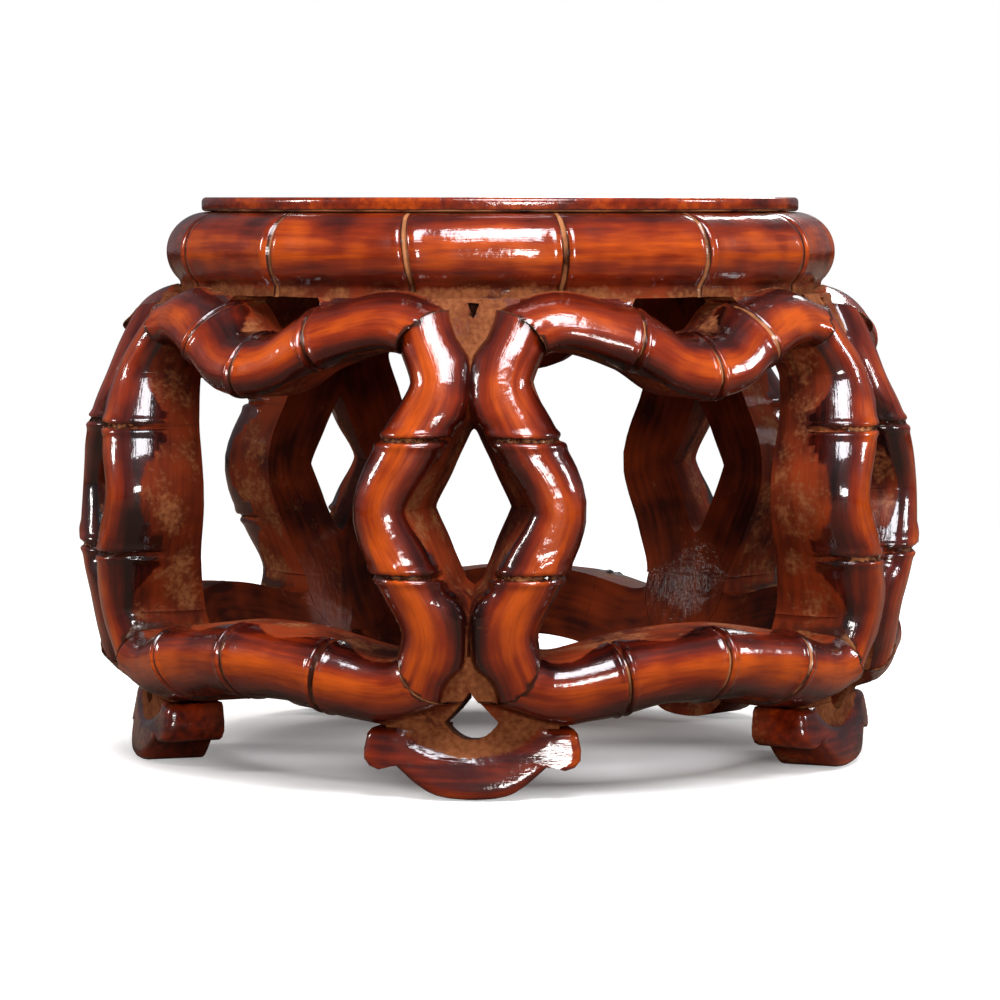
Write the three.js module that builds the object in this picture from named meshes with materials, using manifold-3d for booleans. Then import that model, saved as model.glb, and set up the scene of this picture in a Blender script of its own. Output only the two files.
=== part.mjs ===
// A round display stand carved as bent bamboo: five double-cane legs in a barrel shape, joined by wavy
// top and bottom rails, on five cloud-shaped feet, with a bamboo rim and a lipped top board.
// Millimetres, +Z up. The origin is on the stand's axis at the floor, and the first leg faces -Y.
import * as THREE from "three";
import { mergeVertices } from "three/addons/utils/BufferGeometryUtils.js";
import Module from "manifold-3d";

// Heights, from the floor up
const FOOT_HEIGHT = 9.8;
const FRAME_HEIGHT = 59.6;
const RIM_HEIGHT = 12;
const LIP_HEIGHT = 2.1;

// Radii of the barrel, stepped out from the rim
const RIM_RADIUS = 50.2;
const SHOULDER_OUT = 3.7; // frame beyond the rim, at the frame's top
const BELLY_OUT = 13.6; // frame beyond the rim, at its widest
const BELLY_RISE = 28.2; // widest point above the feet
const FOOT_TUCK = 4.9; // frame in from its widest, at the feet
const WALL = 14.1; // wood between the inner and outer faces, at the inner belly
const INNER_RISE = 31.2; // inner belly above the feet
const INNER_SWEEP = 64; // radius of the hollowed inner profile

// Rim and top board
const RIM_WIDTH = 12.2;
const RIM_CROWN = 6.1; // radius of the rim's bamboo rounding
const RIM_NODES = 14;
const RIM_NODE_TURN = 1.4; // degrees that the rim's node rings are off the front leg's centre
const LIP_INSET = 5.3; // lip in from the rim's widest
const LIP_OVERLAP = 2.4; // lip beyond the board's plug
const LIP_WIDTH = 4.2;
const SEAT_DEPTH = 1.2; // seat below the lip's top
const PLUG_DEPTH = 6; // plug below the lip
const LIP_ROUND = 0.6;

// Canes: half widths, rounding depths, and centre lines on the unrolled barrel
const CANE_HALF = 4.9;
const CANE_CROWN = 7; // rounding depth on the panel side
const CANE_EYE_CROWN = 3.6; // rounding depth on the eye side
const EYE_FLARE = 1.9; // eye's walls lean in towards the inner face
const NECK_OUT = 6.2; // cane's centre from the leg's centre, where two canes meet near the foot
const UPPER_NECK_OUT = 5.4; // the same near the rim
const KNEE_OUT = 13.5; // the same at the knee
const KNEE_RISE = 31; // knee above the feet
const KNEE_SPAN = 17; // knee to each neck
const LOWER_NODE_RISE = 21.9;
const UPPER_NODE_RISE = 40.6;
const RAIL_NODE_OUT = 27.8; // top rail's outer nodes from the leg's centre
const BOTTOM_NODE_OUT = 24;
const TOP_RAIL_HALF = 4.65;
const TOP_RAIL_CROWN = 6;
const CREST_OUT = 16.1; // top rail's high point from the leg's centre
const CREST_DROP = 2.9; // high point's centre line below the frame's top
const DIP_DROP = 9.05; // low point's centre line below the frame's top
const TOP_RAIL_BOW = 0.4; // rail bows up from the straight line between its high and low points
const BOTTOM_RAIL_HALF = 5.4;
const BOTTOM_RAIL_CROWN = 7;
const ARCH_RISE = 8.1; // bottom rail's middle above the feet
const SAG_RISE = 5.2; // bottom rail's low stretch above the feet
const SAG_OUT = 14.5;
const BOTTOM_RAIL_BOW = 0.7;

// Corners where a leg's cane meets a rail, as centre points of the mitres
const TOP_MITRE_OUT = 8.4;
const TOP_MITRE_DROP = 4.2;
const TOP_MITRE_ANGLE = 36;
const BOTTOM_MITRE_OUT = 8.2;
const BOTTOM_MITRE_RISE = 7.1;
const BOTTOM_MITRE_ANGLE = 47.5;
const TENON = { length: 3.6, height: 3.2, depth: 5 };
const TENON_DROP = 1; // tenon's middle in from the middle of the wall

// Shoulders that carry the rim, webs between the canes, and the drop-shaped hole over each foot
const SHOULDER_END = 28.7; // shoulder's end from the leg's centre
const SHOULDER_DEPTH = 5.4;
const SHOULDER_SETBACK = 3.6;
const TOP_WEB_SETBACK = 3;
const BOTTOM_WEB_SETBACK = 1.6;
const HEEL_SETBACK = 3.4; // the bottom rails' heels, beside the drop-shaped holes
const HEEL_RISE = 4;
const DROP_HALF = 4;
const DROP_HEIGHT = 5.2;
const DROP_SINK = 1; // the hole goes on this far into the foot
const SHOULDER_BEVEL = 3;

// Feet
const FOOT_SETBACK = 2.6; // foot in from the frame's outer face
const FOOT_DEPTH = 9.8;
const FOOT_HALF = 15.6;
const FOOT_EAR_RISE = 4.3;
const FOOT_EAR_WIDTH = 4.6;
const FOOT_EAR_ROUND = 1.4;
const FOOT_EAR_TAPER = 0.6;
const FOOT_NOTCH = 0.3; // ear's inner corner below its outer one
const FOOT_BELLY = [
  [1.8, 0.9],
  [4.5, 2.1],
]; // belly's points, out from the flat and up
const FOOT_FLAT_HALF = 3.6;
const FOOT_EDGE = 1.1;
const FOOT_SCOOP = 1;

// Node rings, dowels and fits
const NODE_GROOVE = 0.5;
const NODE_SWELL = 0.3;
const NODE_HALF = 1;
const DOWEL_RADIUS = 1.2;
const DOWEL_SIDES = 8;
const DOWEL_REACH = 4.2; // dowel into each piece
const RIM_DOWEL_OUT = 16.7;
const RIM_DOWEL_IN = 3.7; // dowel in from the rim's widest
const FOOT_DOWEL_OUT = 9.4;
const JOINT_GAP = 0.3; // glue line between mitred faces
const SLIP = 0.2; // tenons and dowels in their holes

const WOOD_COLOUR = 0x5a1f12;
const TOP_COLOUR = 0x651f10;
const DOWEL_COLOUR = 0x9a6a40;
const ROUGHNESS = 0.35;
const LEGS = 5;
const CANE_STEPS = 14;
const RAIL_STEPS = 16;
const CANE_RUN = 4.5; // canes run on past their mitres before they are cut
const ROUND_STEPS = 5; // facets across a cane's rounding
const RIM_STEPS = 6;
const TURN_STEPS = 80;
const CUTTER = 50; // size of the blocks that cut the mitres
const HALVINGS = 30; // how often the search along a curve halves its range

const footTop = FOOT_HEIGHT;
const frameTop = footTop + FRAME_HEIGHT;
const rimTop = frameTop + RIM_HEIGHT;
const lipTop = rimTop + LIP_HEIGHT;
const bellyRadius = RIM_RADIUS + BELLY_OUT;
const panelHalf = (Math.PI / LEGS) * bellyRadius; // half a panel, round the belly
const lipRadius = RIM_RADIUS - LIP_INSET;
const plugRadius = lipRadius - LIP_OVERLAP;
const rimDowelRadius = RIM_RADIUS - RIM_DOWEL_IN;

// Profile of the barrel: two parabolas outside, that meet at the belly, and one inside
function outerRadius(z) {
  const above = z - footTop - BELLY_RISE;
  const reach = above > 0 ? FRAME_HEIGHT - BELLY_RISE : BELLY_RISE;
  const fall = above > 0 ? BELLY_OUT - SHOULDER_OUT : FOOT_TUCK;
  return bellyRadius - fall * (above / reach) ** 2;
}
function innerRadius(z) {
  return bellyRadius - WALL - (z - footTop - INNER_RISE) ** 2 / (2 * INNER_SWEEP);
}

// A point of the barrel: round is measured round the belly from the front, at radius r and height z
function onBarrel(round, r, z) {
  const angle = round / bellyRadius;
  return new THREE.Vector3(r * Math.sin(angle), -r * Math.cos(angle), z);
}

// A closed body through rings of points that all have the same count; a loop joins its last ring to its first
function loft(rings, isLoop = false) {
  const count = rings[0].length;
  const positions = rings.flat().flatMap((point) => point.toArray());
  const faces = [];
  const spans = isLoop ? rings.length : rings.length - 1;
  for (let i = 0; i < spans; i++) {
    const next = (i + 1) % rings.length;
    for (let j = 0; j < count; j++) {
      const beside = (j + 1) % count;
      const [a, b] = [i * count + j, i * count + beside];
      const [c, d] = [next * count + j, next * count + beside];
      faces.push(a, b, d, a, d, c);
    }
  }
  if (!isLoop) {
    const last = (rings.length - 1) * count;
    for (let j = 1; j < count - 1; j++) {
      faces.push(0, j + 1, j);
      faces.push(last, last + j, last + j + 1);
    }
  }
  const geometry = new THREE.BufferGeometry();
  geometry.setAttribute("position", new THREE.Float32BufferAttribute(positions, 3));
  geometry.setIndex(faces);
  return geometry;
}

const wasm = await Module();
wasm.setup();

// A solid for joining and cutting, with its faces turned outwards
function solid(geometry) {
  const plain = new THREE.BufferGeometry();
  plain.setAttribute("position", geometry.getAttribute("position"));
  plain.setIndex(geometry.getIndex());
  const merged = mergeVertices(plain, 1e-4);
  const triVerts = new Uint32Array(merged.index.array);
  const vertProperties = merged.attributes.position.array;
  const made = new wasm.Manifold(new wasm.Mesh({ numProp: 3, vertProperties, triVerts }));
  if (made.volume() >= 0) return made;
  triVerts.reverse();
  return new wasm.Manifold(new wasm.Mesh({ numProp: 3, vertProperties, triVerts }));
}
function geometryOf(made) {
  const { vertProperties, triVerts } = made.getMesh();
  const geometry = new THREE.BufferGeometry();
  geometry.setAttribute("position", new THREE.Float32BufferAttribute(vertProperties, 3));
  geometry.setIndex(new THREE.BufferAttribute(triVerts, 1));
  geometry.computeVertexNormals();
  return geometry;
}
function box(width, depth, height, matrix) {
  return solid(new THREE.BoxGeometry(width, depth, height).applyMatrix4(matrix));
}
function cylinder(radius, bottom, top, at) {
  const upright = new THREE.CylinderGeometry(radius, radius, top - bottom, DOWEL_SIDES).rotateX(Math.PI / 2);
  return solid(upright.translate(at.x, at.y, (top + bottom) / 2));
}

// One cane's rounded section, as [across, depth] pairs; depth null is the barrel's inner face
function caneSection(half, leftCrown, rightCrown, leftFlare = 0) {
  const section = [[-half - leftFlare, null]];
  for (let i = 0; i <= ROUND_STEPS; i++) {
    const angle = Math.PI * (1 - i / ROUND_STEPS);
    const crown = angle > Math.PI / 2 ? leftCrown : rightCrown;
    section.push([half * Math.cos(angle), crown * (1 - Math.sin(angle))]);
  }
  section.push([half, null]);
  return section;
}

// A cane along a curve of [round, height] points, with a groove between two swellings at each node
function cane(curve, steps, section, nodes) {
  const length = curve.getLength();
  const stations = [];
  for (let i = 0; i <= steps; i++) stations.push({ at: i / steps, sunk: 0 });
  for (const node of nodes) {
    const half = NODE_HALF / length;
    for (let i = stations.length - 1; i >= 0; i--) {
      if (Math.abs(stations[i].at - node) < 1.5 * half) stations.splice(i, 1);
    }
    stations.push({ at: node - half, sunk: -NODE_SWELL });
    stations.push({ at: node, sunk: NODE_GROOVE });
    stations.push({ at: node + half, sunk: -NODE_SWELL });
  }
  stations.sort((a, b) => a.at - b.at);
  const rings = stations.map(({ at, sunk }) => {
    const centre = curve.getPointAt(at);
    const scale = outerRadius(centre.y) / bellyRadius;
    const along = curve.getTangentAt(at);
    along.set(along.x * scale, along.y).normalize();
    return section.map(([across, depth]) => {
      const isRounding = depth !== null;
      const out = isRounding ? across - Math.sign(across) * sunk : across;
      const round = centre.x + (out * along.y) / scale;
      const z = centre.y - out * along.x;
      const r = isRounding ? outerRadius(z) - depth - sunk : innerRadius(z);
      return onBarrel(round, r, z);
    });
  });
  return solid(loft(rings));
}

// Where a curve passes a value of x or y, as a share of its length
function shareAt(curve, axis, value) {
  let [low, high] = [0, 1];
  for (let i = 0; i < HALVINGS; i++) {
    const middle = (low + high) / 2;
    if (curve.getPointAt(middle)[axis] < value) low = middle;
    else high = middle;
  }
  return (low + high) / 2;
}

// The frame of a mitre: x across the joint towards the rail, y along the joint line, z outwards
function mitreFrame(round, z, angle, isTop) {
  const turn = round / bellyRadius;
  const side = new THREE.Vector3(Math.cos(turn), Math.sin(turn), 0);
  const out = new THREE.Vector3(Math.sin(turn), -Math.cos(turn), 0);
  const up = new THREE.Vector3(0, 0, isTop ? 1 : -1);
  const slope = THREE.MathUtils.degToRad(angle);
  const across = side.clone().multiplyScalar(Math.sin(slope)).addScaledVector(up, Math.cos(slope));
  const along = out.clone().cross(across);
  const middle = onBarrel(round, (outerRadius(z) + innerRadius(z)) / 2, z);
  return new THREE.Matrix4().makeBasis(across, along, out).setPosition(middle);
}
const topMitreZ = frameTop - TOP_MITRE_DROP;
const bottomMitreZ = footTop + BOTTOM_MITRE_RISE;
const topMitre = mitreFrame(TOP_MITRE_OUT, topMitreZ, TOP_MITRE_ANGLE, true);
const bottomMitre = mitreFrame(BOTTOM_MITRE_OUT, bottomMitreZ, BOTTOM_MITRE_ANGLE, false);

// The other side of a leg
function mirrored(made) {
  return made.mirror([1, 0, 0]);
}

// Everything beyond a mitre (towards the rail) or before it (towards the leg), less half the glue line
function cutBlock(frame, isRailSide) {
  const shift = (isRailSide ? 1 : -1) * (CUTTER / 2 - JOINT_GAP / 2);
  const placed = frame.clone().multiply(new THREE.Matrix4().makeTranslation(shift, 0, 0));
  return box(CUTTER, CUTTER, CUTTER, placed);
}
// A rail's tenon, or with slip its mortise, from inside the rail into the leg
function tenonBlock(frame, slip) {
  const length = 2 * TENON.length + slip;
  const placed = frame.clone().multiply(new THREE.Matrix4().makeTranslation(-slip / 2, 0, -TENON_DROP));
  return box(length, TENON.height + 2 * slip, TENON.depth + 2 * slip, placed);
}

// Centre lines
const upper = (drop) => frameTop - drop;
const lower = (rise) => footTop + rise;
const lowerMean = (NECK_OUT + KNEE_OUT) / 2;
const upperMean = (UPPER_NECK_OUT + KNEE_OUT) / 2;
const legLine = new THREE.SplineCurve([
  new THREE.Vector2(BOTTOM_MITRE_OUT + CANE_RUN / 3, lower(BOTTOM_MITRE_RISE - CANE_RUN)),
  new THREE.Vector2(BOTTOM_MITRE_OUT, lower(BOTTOM_MITRE_RISE)),
  new THREE.Vector2(NECK_OUT, lower(KNEE_RISE - KNEE_SPAN)),
  new THREE.Vector2(lowerMean, lower(KNEE_RISE - KNEE_SPAN / 2)),
  new THREE.Vector2(KNEE_OUT, lower(KNEE_RISE)),
  new THREE.Vector2(upperMean, lower(KNEE_RISE + KNEE_SPAN / 2)),
  new THREE.Vector2(UPPER_NECK_OUT, lower(KNEE_RISE + KNEE_SPAN)),
  new THREE.Vector2(TOP_MITRE_OUT, upper(TOP_MITRE_DROP)),
  new THREE.Vector2(TOP_MITRE_OUT + CANE_RUN / 3, upper(TOP_MITRE_DROP - CANE_RUN)),
]);

// A rail's centre line, from its first half mirrored about the panel's middle
function acrossPanel(half) {
  const other = half.map(([x, y]) => [2 * panelHalf - x, y]).reverse();
  return new THREE.SplineCurve([...half, ...other].map(([x, y]) => new THREE.Vector2(x, y)));
}
const dipZ = upper(DIP_DROP);
const archZ = lower(ARCH_RISE);
const topRailLine = acrossPanel([
  [TOP_MITRE_OUT - CANE_RUN, upper(TOP_MITRE_DROP + CANE_RUN / 2)],
  [TOP_MITRE_OUT, upper(TOP_MITRE_DROP)],
  [CREST_OUT, upper(CREST_DROP)],
  [(CREST_OUT + panelHalf) / 2, (upper(CREST_DROP) + dipZ) / 2 + TOP_RAIL_BOW],
  [panelHalf - CANE_RUN, dipZ],
]);
const bottomRailLine = acrossPanel([
  [BOTTOM_MITRE_OUT - CANE_RUN, lower(BOTTOM_MITRE_RISE + CANE_RUN / 4)],
  [BOTTOM_MITRE_OUT, lower(BOTTOM_MITRE_RISE - 1)],
  [SAG_OUT, lower(SAG_RISE)],
  [(SAG_OUT + panelHalf) / 2, (lower(SAG_RISE) + archZ) / 2 + BOTTOM_RAIL_BOW],
  [panelHalf - CANE_RUN, archZ],
]);

// A block of the barrel's wall over an outline of [round, height] points
function wallBlock(outline, setback, steps = 1) {
  const rings = [];
  for (const isOuter of [false, true]) {
    const ring = [];
    outline.forEach(([x, y], i) => {
      const [nextX, nextY] = outline[(i + 1) % outline.length];
      for (let k = 0; k < steps; k++) {
        const round = x + ((nextX - x) * k) / steps;
        const z = y + ((nextY - y) * k) / steps;
        ring.push(onBarrel(round, isOuter ? outerRadius(z) - setback : innerRadius(z), z));
      }
    });
    rings.push(ring);
  }
  return solid(loft(rings));
}

// The rim's rounding, grown by the glue line where it clears other pieces, and flat under the rim
function halfRound(radius, middle, height, grow) {
  const points = [];
  for (let i = 0; i <= RIM_STEPS; i++) {
    const angle = Math.PI * (i / RIM_STEPS - 0.5);
    points.push([
      radius - RIM_CROWN + (RIM_CROWN + grow) * Math.cos(angle),
      Math.max(middle - height / 2, middle + (height / 2 + grow) * Math.sin(angle)),
    ]);
  }
  return points;
}
function turned(profile) {
  const points = profile.map(([x, y]) => new THREE.Vector2(x, y));
  return new THREE.LatheGeometry([...points, points[0].clone()], TURN_STEPS).rotateX(Math.PI / 2);
}
const rimMiddle = (frameTop + rimTop) / 2;
const rimClearance = solid(
  turned([
    [RIM_RADIUS - RIM_WIDTH, frameTop],
    ...halfRound(RIM_RADIUS + NODE_SWELL, rimMiddle, RIM_HEIGHT, JOINT_GAP),
    [RIM_RADIUS - RIM_WIDTH, rimTop],
  ]),
);

// Dowels stand upright at a place round the barrel, each in its own holes
const rimDowels = [0, RIM_DOWEL_OUT, 2 * panelHalf - RIM_DOWEL_OUT];
const footDowels = [FOOT_DOWEL_OUT, 2 * panelHalf - FOOT_DOWEL_OUT];
function dowelAt(round, radius, middle, slip) {
  const at = onBarrel(round, radius, 0);
  return cylinder(DOWEL_RADIUS + slip, middle - DOWEL_REACH - slip, middle + DOWEL_REACH + slip, at);
}
const footDowelRadius = outerRadius(footTop) - FOOT_SETBACK - FOOT_DEPTH / 2;

// The drop-shaped hole between the feet and the bottom webs
const dropOutline = [
  [0, lower(DROP_HEIGHT)],
  [-DROP_HALF / 2, lower(DROP_HEIGHT / 2)],
  [-DROP_HALF, lower(DROP_HEIGHT / 5)],
  [-DROP_HALF / 2, lower(-DROP_SINK)],
  [DROP_HALF / 2, lower(-DROP_SINK)],
  [DROP_HALF, lower(DROP_HEIGHT / 5)],
  [DROP_HALF / 2, lower(DROP_HEIGHT / 2)],
];
const drop = wallBlock(dropOutline, -CUTTER / 4);

// A leg: two bowed canes, joined by a web at the top and at the bottom
const legNodes = [LOWER_NODE_RISE, UPPER_NODE_RISE].map((rise) => shareAt(legLine, "y", lower(rise)));
const legSection = caneSection(CANE_HALF, CANE_EYE_CROWN, CANE_CROWN, EYE_FLARE);
const legCane = cane(legLine, CANE_STEPS, legSection, legNodes);
const neckTop = lower(KNEE_RISE + KNEE_SPAN);
const neckBottom = lower(KNEE_RISE - KNEE_SPAN);
const topWeb = wallBlock(
  [
    [-UPPER_NECK_OUT, neckTop - 1],
    [-TOP_MITRE_OUT, frameTop],
    [TOP_MITRE_OUT, frameTop],
    [UPPER_NECK_OUT, neckTop - 1],
  ],
  TOP_WEB_SETBACK,
);
const bottomWeb = wallBlock(
  [
    [-BOTTOM_MITRE_OUT, lower(2)],
    [-NECK_OUT, neckBottom - 2],
    [NECK_OUT, neckBottom - 2],
    [BOTTOM_MITRE_OUT, lower(2)],
  ],
  BOTTOM_WEB_SETBACK,
);
const railSides = [cutBlock(topMitre, true), cutBlock(bottomMitre, true)];
const railTenons = [tenonBlock(topMitre, 0), tenonBlock(bottomMitre, 0)];
const mortises = [tenonBlock(topMitre, SLIP), tenonBlock(bottomMitre, SLIP)];
let leg = legCane.add(mirrored(legCane)).add(topWeb).add(bottomWeb);
for (const block of [...railSides, ...mortises]) leg = leg.subtract(block).subtract(mirrored(block));
leg = leg.subtract(drop).subtract(rimClearance);
leg = leg.subtract(dowelAt(0, rimDowelRadius, frameTop, SLIP));

// A rail's other end belongs to the next leg
const nextLeg = new THREE.Matrix4().makeRotationZ((2 * Math.PI) / LEGS);
function toNextLeg(made) {
  return mirrored(made).transform(nextLeg.toArray());
}
function finishRail(rail, frame, legTenon) {
  const block = cutBlock(frame, false);
  return rail.subtract(block).subtract(toNextLeg(block)).add(legTenon).add(toNextLeg(legTenon));
}
const railNodes = [RAIL_NODE_OUT, panelHalf, 2 * panelHalf - RAIL_NODE_OUT];
const bottomNodes = [BOTTOM_NODE_OUT, panelHalf, 2 * panelHalf - BOTTOM_NODE_OUT];
let topRail = cane(
  topRailLine,
  RAIL_STEPS,
  caneSection(TOP_RAIL_HALF, TOP_RAIL_CROWN, TOP_RAIL_CROWN),
  railNodes.map((round) => shareAt(topRailLine, "x", round)),
);
const shoulder = wallBlock(
  [
    [TOP_MITRE_OUT - SHOULDER_BEVEL, frameTop],
    [TOP_MITRE_OUT, upper(SHOULDER_DEPTH)],
    [SHOULDER_END - SHOULDER_BEVEL, upper(SHOULDER_DEPTH)],
    [SHOULDER_END, frameTop],
  ],
  SHOULDER_SETBACK,
  2,
);
topRail = topRail.add(shoulder).add(toNextLeg(shoulder));
topRail = finishRail(topRail, topMitre, railTenons[0]).subtract(rimClearance);
for (const round of rimDowels.slice(1)) {
  topRail = topRail.subtract(dowelAt(round, rimDowelRadius, frameTop, SLIP));
}

let bottomRail = cane(
  bottomRailLine,
  RAIL_STEPS,
  caneSection(BOTTOM_RAIL_HALF, BOTTOM_RAIL_CROWN, BOTTOM_RAIL_CROWN),
  bottomNodes.map((round) => shareAt(bottomRailLine, "x", round)),
);
const heel = wallBlock(
  [
    [0, footTop],
    [0, lower(HEEL_RISE)],
    [SAG_OUT, lower(HEEL_RISE)],
    [SAG_OUT, footTop],
  ],
  HEEL_SETBACK,
  2,
);
bottomRail = bottomRail.add(heel).add(toNextLeg(heel));
bottomRail = finishRail(bottomRail, bottomMitre, railTenons[1]);
bottomRail = bottomRail.trimByPlane([0, 0, 1], footTop).subtract(drop).subtract(toNextLeg(drop));
for (const round of footDowels) {
  bottomRail = bottomRail.subtract(dowelAt(round, footDowelRadius, footTop, SLIP));
}

// A foot: a cloud outline, rounded at its front edge, scooped below the frame
const footScale = bellyRadius / (outerRadius(footTop) - FOOT_SETBACK);
const footHalfOutline = [
  [FOOT_FLAT_HALF, 0],
  ...FOOT_BELLY.map(([out, rise]) => [FOOT_FLAT_HALF + out, rise]),
  [FOOT_HALF - FOOT_EAR_WIDTH, FOOT_EAR_RISE - FOOT_NOTCH],
  [FOOT_HALF - FOOT_EAR_WIDTH / 2, FOOT_EAR_RISE],
  [FOOT_HALF, FOOT_EAR_RISE + FOOT_EAR_ROUND],
  [FOOT_HALF, (FOOT_EAR_RISE + FOOT_HEIGHT) / 2],
  [FOOT_HALF - FOOT_EAR_TAPER, FOOT_HEIGHT],
];
const footOutline = [...footHalfOutline, ...footHalfOutline.map(([x, y]) => [-x, y]).reverse()];
const footFront = outerRadius(footTop) - FOOT_SETBACK;
const footRings = [
  [footFront - FOOT_DEPTH, 0],
  [footFront - FOOT_EDGE, 0],
  [footFront - FOOT_EDGE / 3, FOOT_EDGE / 3],
  [footFront, FOOT_EDGE],
].map(([r, inset]) =>
  footOutline.map(([x, y]) => {
    const isTop = y > FOOT_HEIGHT - FOOT_EDGE;
    const isFlat = y < FOOT_EDGE;
    const z = isTop ? y - inset * FOOT_SCOOP : isFlat ? y + inset : y + inset / 2;
    return onBarrel((x - Math.sign(x) * inset) * footScale, r, z);
  }),
);
let foot = solid(loft(footRings)).subtract(drop);
for (const round of [-FOOT_DOWEL_OUT, FOOT_DOWEL_OUT]) {
  foot = foot.subtract(dowelAt(round, footDowelRadius, footTop, SLIP));
}

// The rim: a bamboo rounding with node rings, and a rabbet for the board's plug
function rimGeometry() {
  const rings = [];
  const pitch = (2 * Math.PI) / RIM_NODES;
  const half = NODE_HALF / RIM_RADIUS;
  const stations = [
    [-half, -NODE_SWELL],
    [0, NODE_GROOVE],
    [half, -NODE_SWELL],
    [2.5 * half, 0],
    [pitch / 3, 0],
    [(2 * pitch) / 3, 0],
    [pitch - 2.5 * half, 0],
  ];
  for (let k = 0; k < RIM_NODES; k++) {
    for (const [turn, sunk] of stations) {
      const angle = THREE.MathUtils.degToRad(RIM_NODE_TURN) + (k + 0.5) * pitch + turn;
      const section = [
        [RIM_RADIUS - RIM_WIDTH, frameTop],
        ...halfRound(RIM_RADIUS - sunk, rimMiddle, RIM_HEIGHT, 0),
        [plugRadius + SLIP, rimTop],
        [plugRadius + SLIP, rimTop - PLUG_DEPTH],
        [RIM_RADIUS - RIM_WIDTH, rimTop - PLUG_DEPTH],
      ];
      rings.push(section.map(([r, z]) => new THREE.Vector3(r * Math.sin(angle), -r * Math.cos(angle), z)));
    }
  }
  return loft(rings, true);
}
let rim = solid(rimGeometry());
for (let k = 0; k < LEGS; k++) {
  for (const round of rimDowels) {
    rim = rim.subtract(dowelAt(round + 2 * k * panelHalf, rimDowelRadius, frameTop, SLIP));
  }
}

// The top board: a plug in the rim's rabbet, and a raised lip round its seat
const seatRadius = lipRadius - LIP_WIDTH;
const board = solid(
  new THREE.LatheGeometry(
    [
      [0, rimTop - PLUG_DEPTH],
      [plugRadius, rimTop - PLUG_DEPTH],
      [plugRadius, rimTop],
      [lipRadius, rimTop],
      [lipRadius, lipTop - LIP_ROUND],
      [lipRadius - LIP_ROUND, lipTop],
      [seatRadius + LIP_ROUND, lipTop],
      [seatRadius, lipTop - SEAT_DEPTH],
      [0, lipTop - SEAT_DEPTH],
    ].map(([x, y]) => new THREE.Vector2(x, y)),
    TURN_STEPS,
  ).rotateX(Math.PI / 2),
);

// Assembly: each piece is turned to its own place round the axis
const stand = new THREE.Group();
stand.name = "bamboo_display_stand";
function place(name, geometry, colour, turn = 0) {
  const mesh = new THREE.Mesh(geometry, new THREE.MeshStandardMaterial({ color: colour, roughness: ROUGHNESS }));
  mesh.name = name;
  mesh.rotation.z = turn;
  stand.add(mesh);
}
place("top_board", geometryOf(board), TOP_COLOUR);
place("rim_ring", geometryOf(rim), WOOD_COLOUR);
for (let k = 0; k < LEGS; k++) {
  const turn = (2 * Math.PI * k) / LEGS;
  place(`leg_${k + 1}`, geometryOf(leg), WOOD_COLOUR, turn);
  place(`top_rail_${k + 1}`, geometryOf(topRail), WOOD_COLOUR, turn);
  place(`bottom_rail_${k + 1}`, geometryOf(bottomRail), WOOD_COLOUR, turn);
  place(`foot_${k + 1}`, geometryOf(foot), WOOD_COLOUR, turn);
  place(`rim_dowel_${k + 1}`, geometryOf(dowelAt(0, rimDowelRadius, frameTop, 0)), DOWEL_COLOUR, turn);
  ["a", "b"].forEach((side, i) => {
    const rimPlace = dowelAt(rimDowels[i + 1], rimDowelRadius, frameTop, 0);
    const footPlace = dowelAt(footDowels[i], footDowelRadius, footTop, 0);
    place(`rail_dowel_${k + 1}${side}`, geometryOf(rimPlace), DOWEL_COLOUR, turn);
    place(`foot_dowel_${k + 1}${side}`, geometryOf(footPlace), DOWEL_COLOUR, turn);
  });
}

export default stand;
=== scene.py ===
"""Looks of a carved display stand in the shape of bent bamboo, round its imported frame. Metres, +Z up."""

import math
from collections import Counter

import bpy
import numpy as np
from mathutils import Matrix, Vector, noise


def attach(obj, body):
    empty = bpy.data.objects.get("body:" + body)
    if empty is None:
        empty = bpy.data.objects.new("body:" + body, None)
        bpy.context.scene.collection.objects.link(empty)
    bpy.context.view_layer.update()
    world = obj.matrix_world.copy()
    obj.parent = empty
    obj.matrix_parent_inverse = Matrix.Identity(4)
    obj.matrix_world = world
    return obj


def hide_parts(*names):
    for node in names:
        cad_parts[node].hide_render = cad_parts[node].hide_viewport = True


bl_info = {
    "name": "Bamboo display stand",
    "version": (1, 0, 0),
    "blender": (4, 5, 0),
    "location": "View3D > Sidebar > Stand",
    "description": "Builds the carved and lacquered pieces of a bamboo display stand",
    "category": "Add Mesh",
}

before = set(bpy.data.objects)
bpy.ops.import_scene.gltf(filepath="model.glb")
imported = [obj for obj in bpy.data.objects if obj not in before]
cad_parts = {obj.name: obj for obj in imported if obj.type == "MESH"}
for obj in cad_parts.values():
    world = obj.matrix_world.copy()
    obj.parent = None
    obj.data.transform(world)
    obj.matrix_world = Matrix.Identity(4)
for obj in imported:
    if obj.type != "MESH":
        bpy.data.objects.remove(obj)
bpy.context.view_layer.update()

MM = 0.001
LEGS = 5

# The frame's own sizes in millimetres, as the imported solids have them
FOOT_TOP = 9.8
FRAME_TOP = 69.4
RIM_TOP = 81.4
LIP_TOP = 83.5
RIM_RADIUS = 50.2
RIM_WIDTH = 12.2
RIM_CROWN = 6.1
BELLY_RADIUS = 63.8
BELLY_RISE = 28.2
TOP_FALL = 9.9
FOOT_FALL = 4.9
WALL = 14.1
INNER_RISE = 31.2
INNER_SWEEP = 64.0
SKIN_INSET = 0.25  # keeps raised nodes inside the solids' outer size
FILLET_TOP = FRAME_TOP + 1.9  # dust and old polish fill the corner under the rim up to here
FILLET_RADIUS = 48.2
PANEL_HALF = math.pi / LEGS * BELLY_RADIUS

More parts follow.
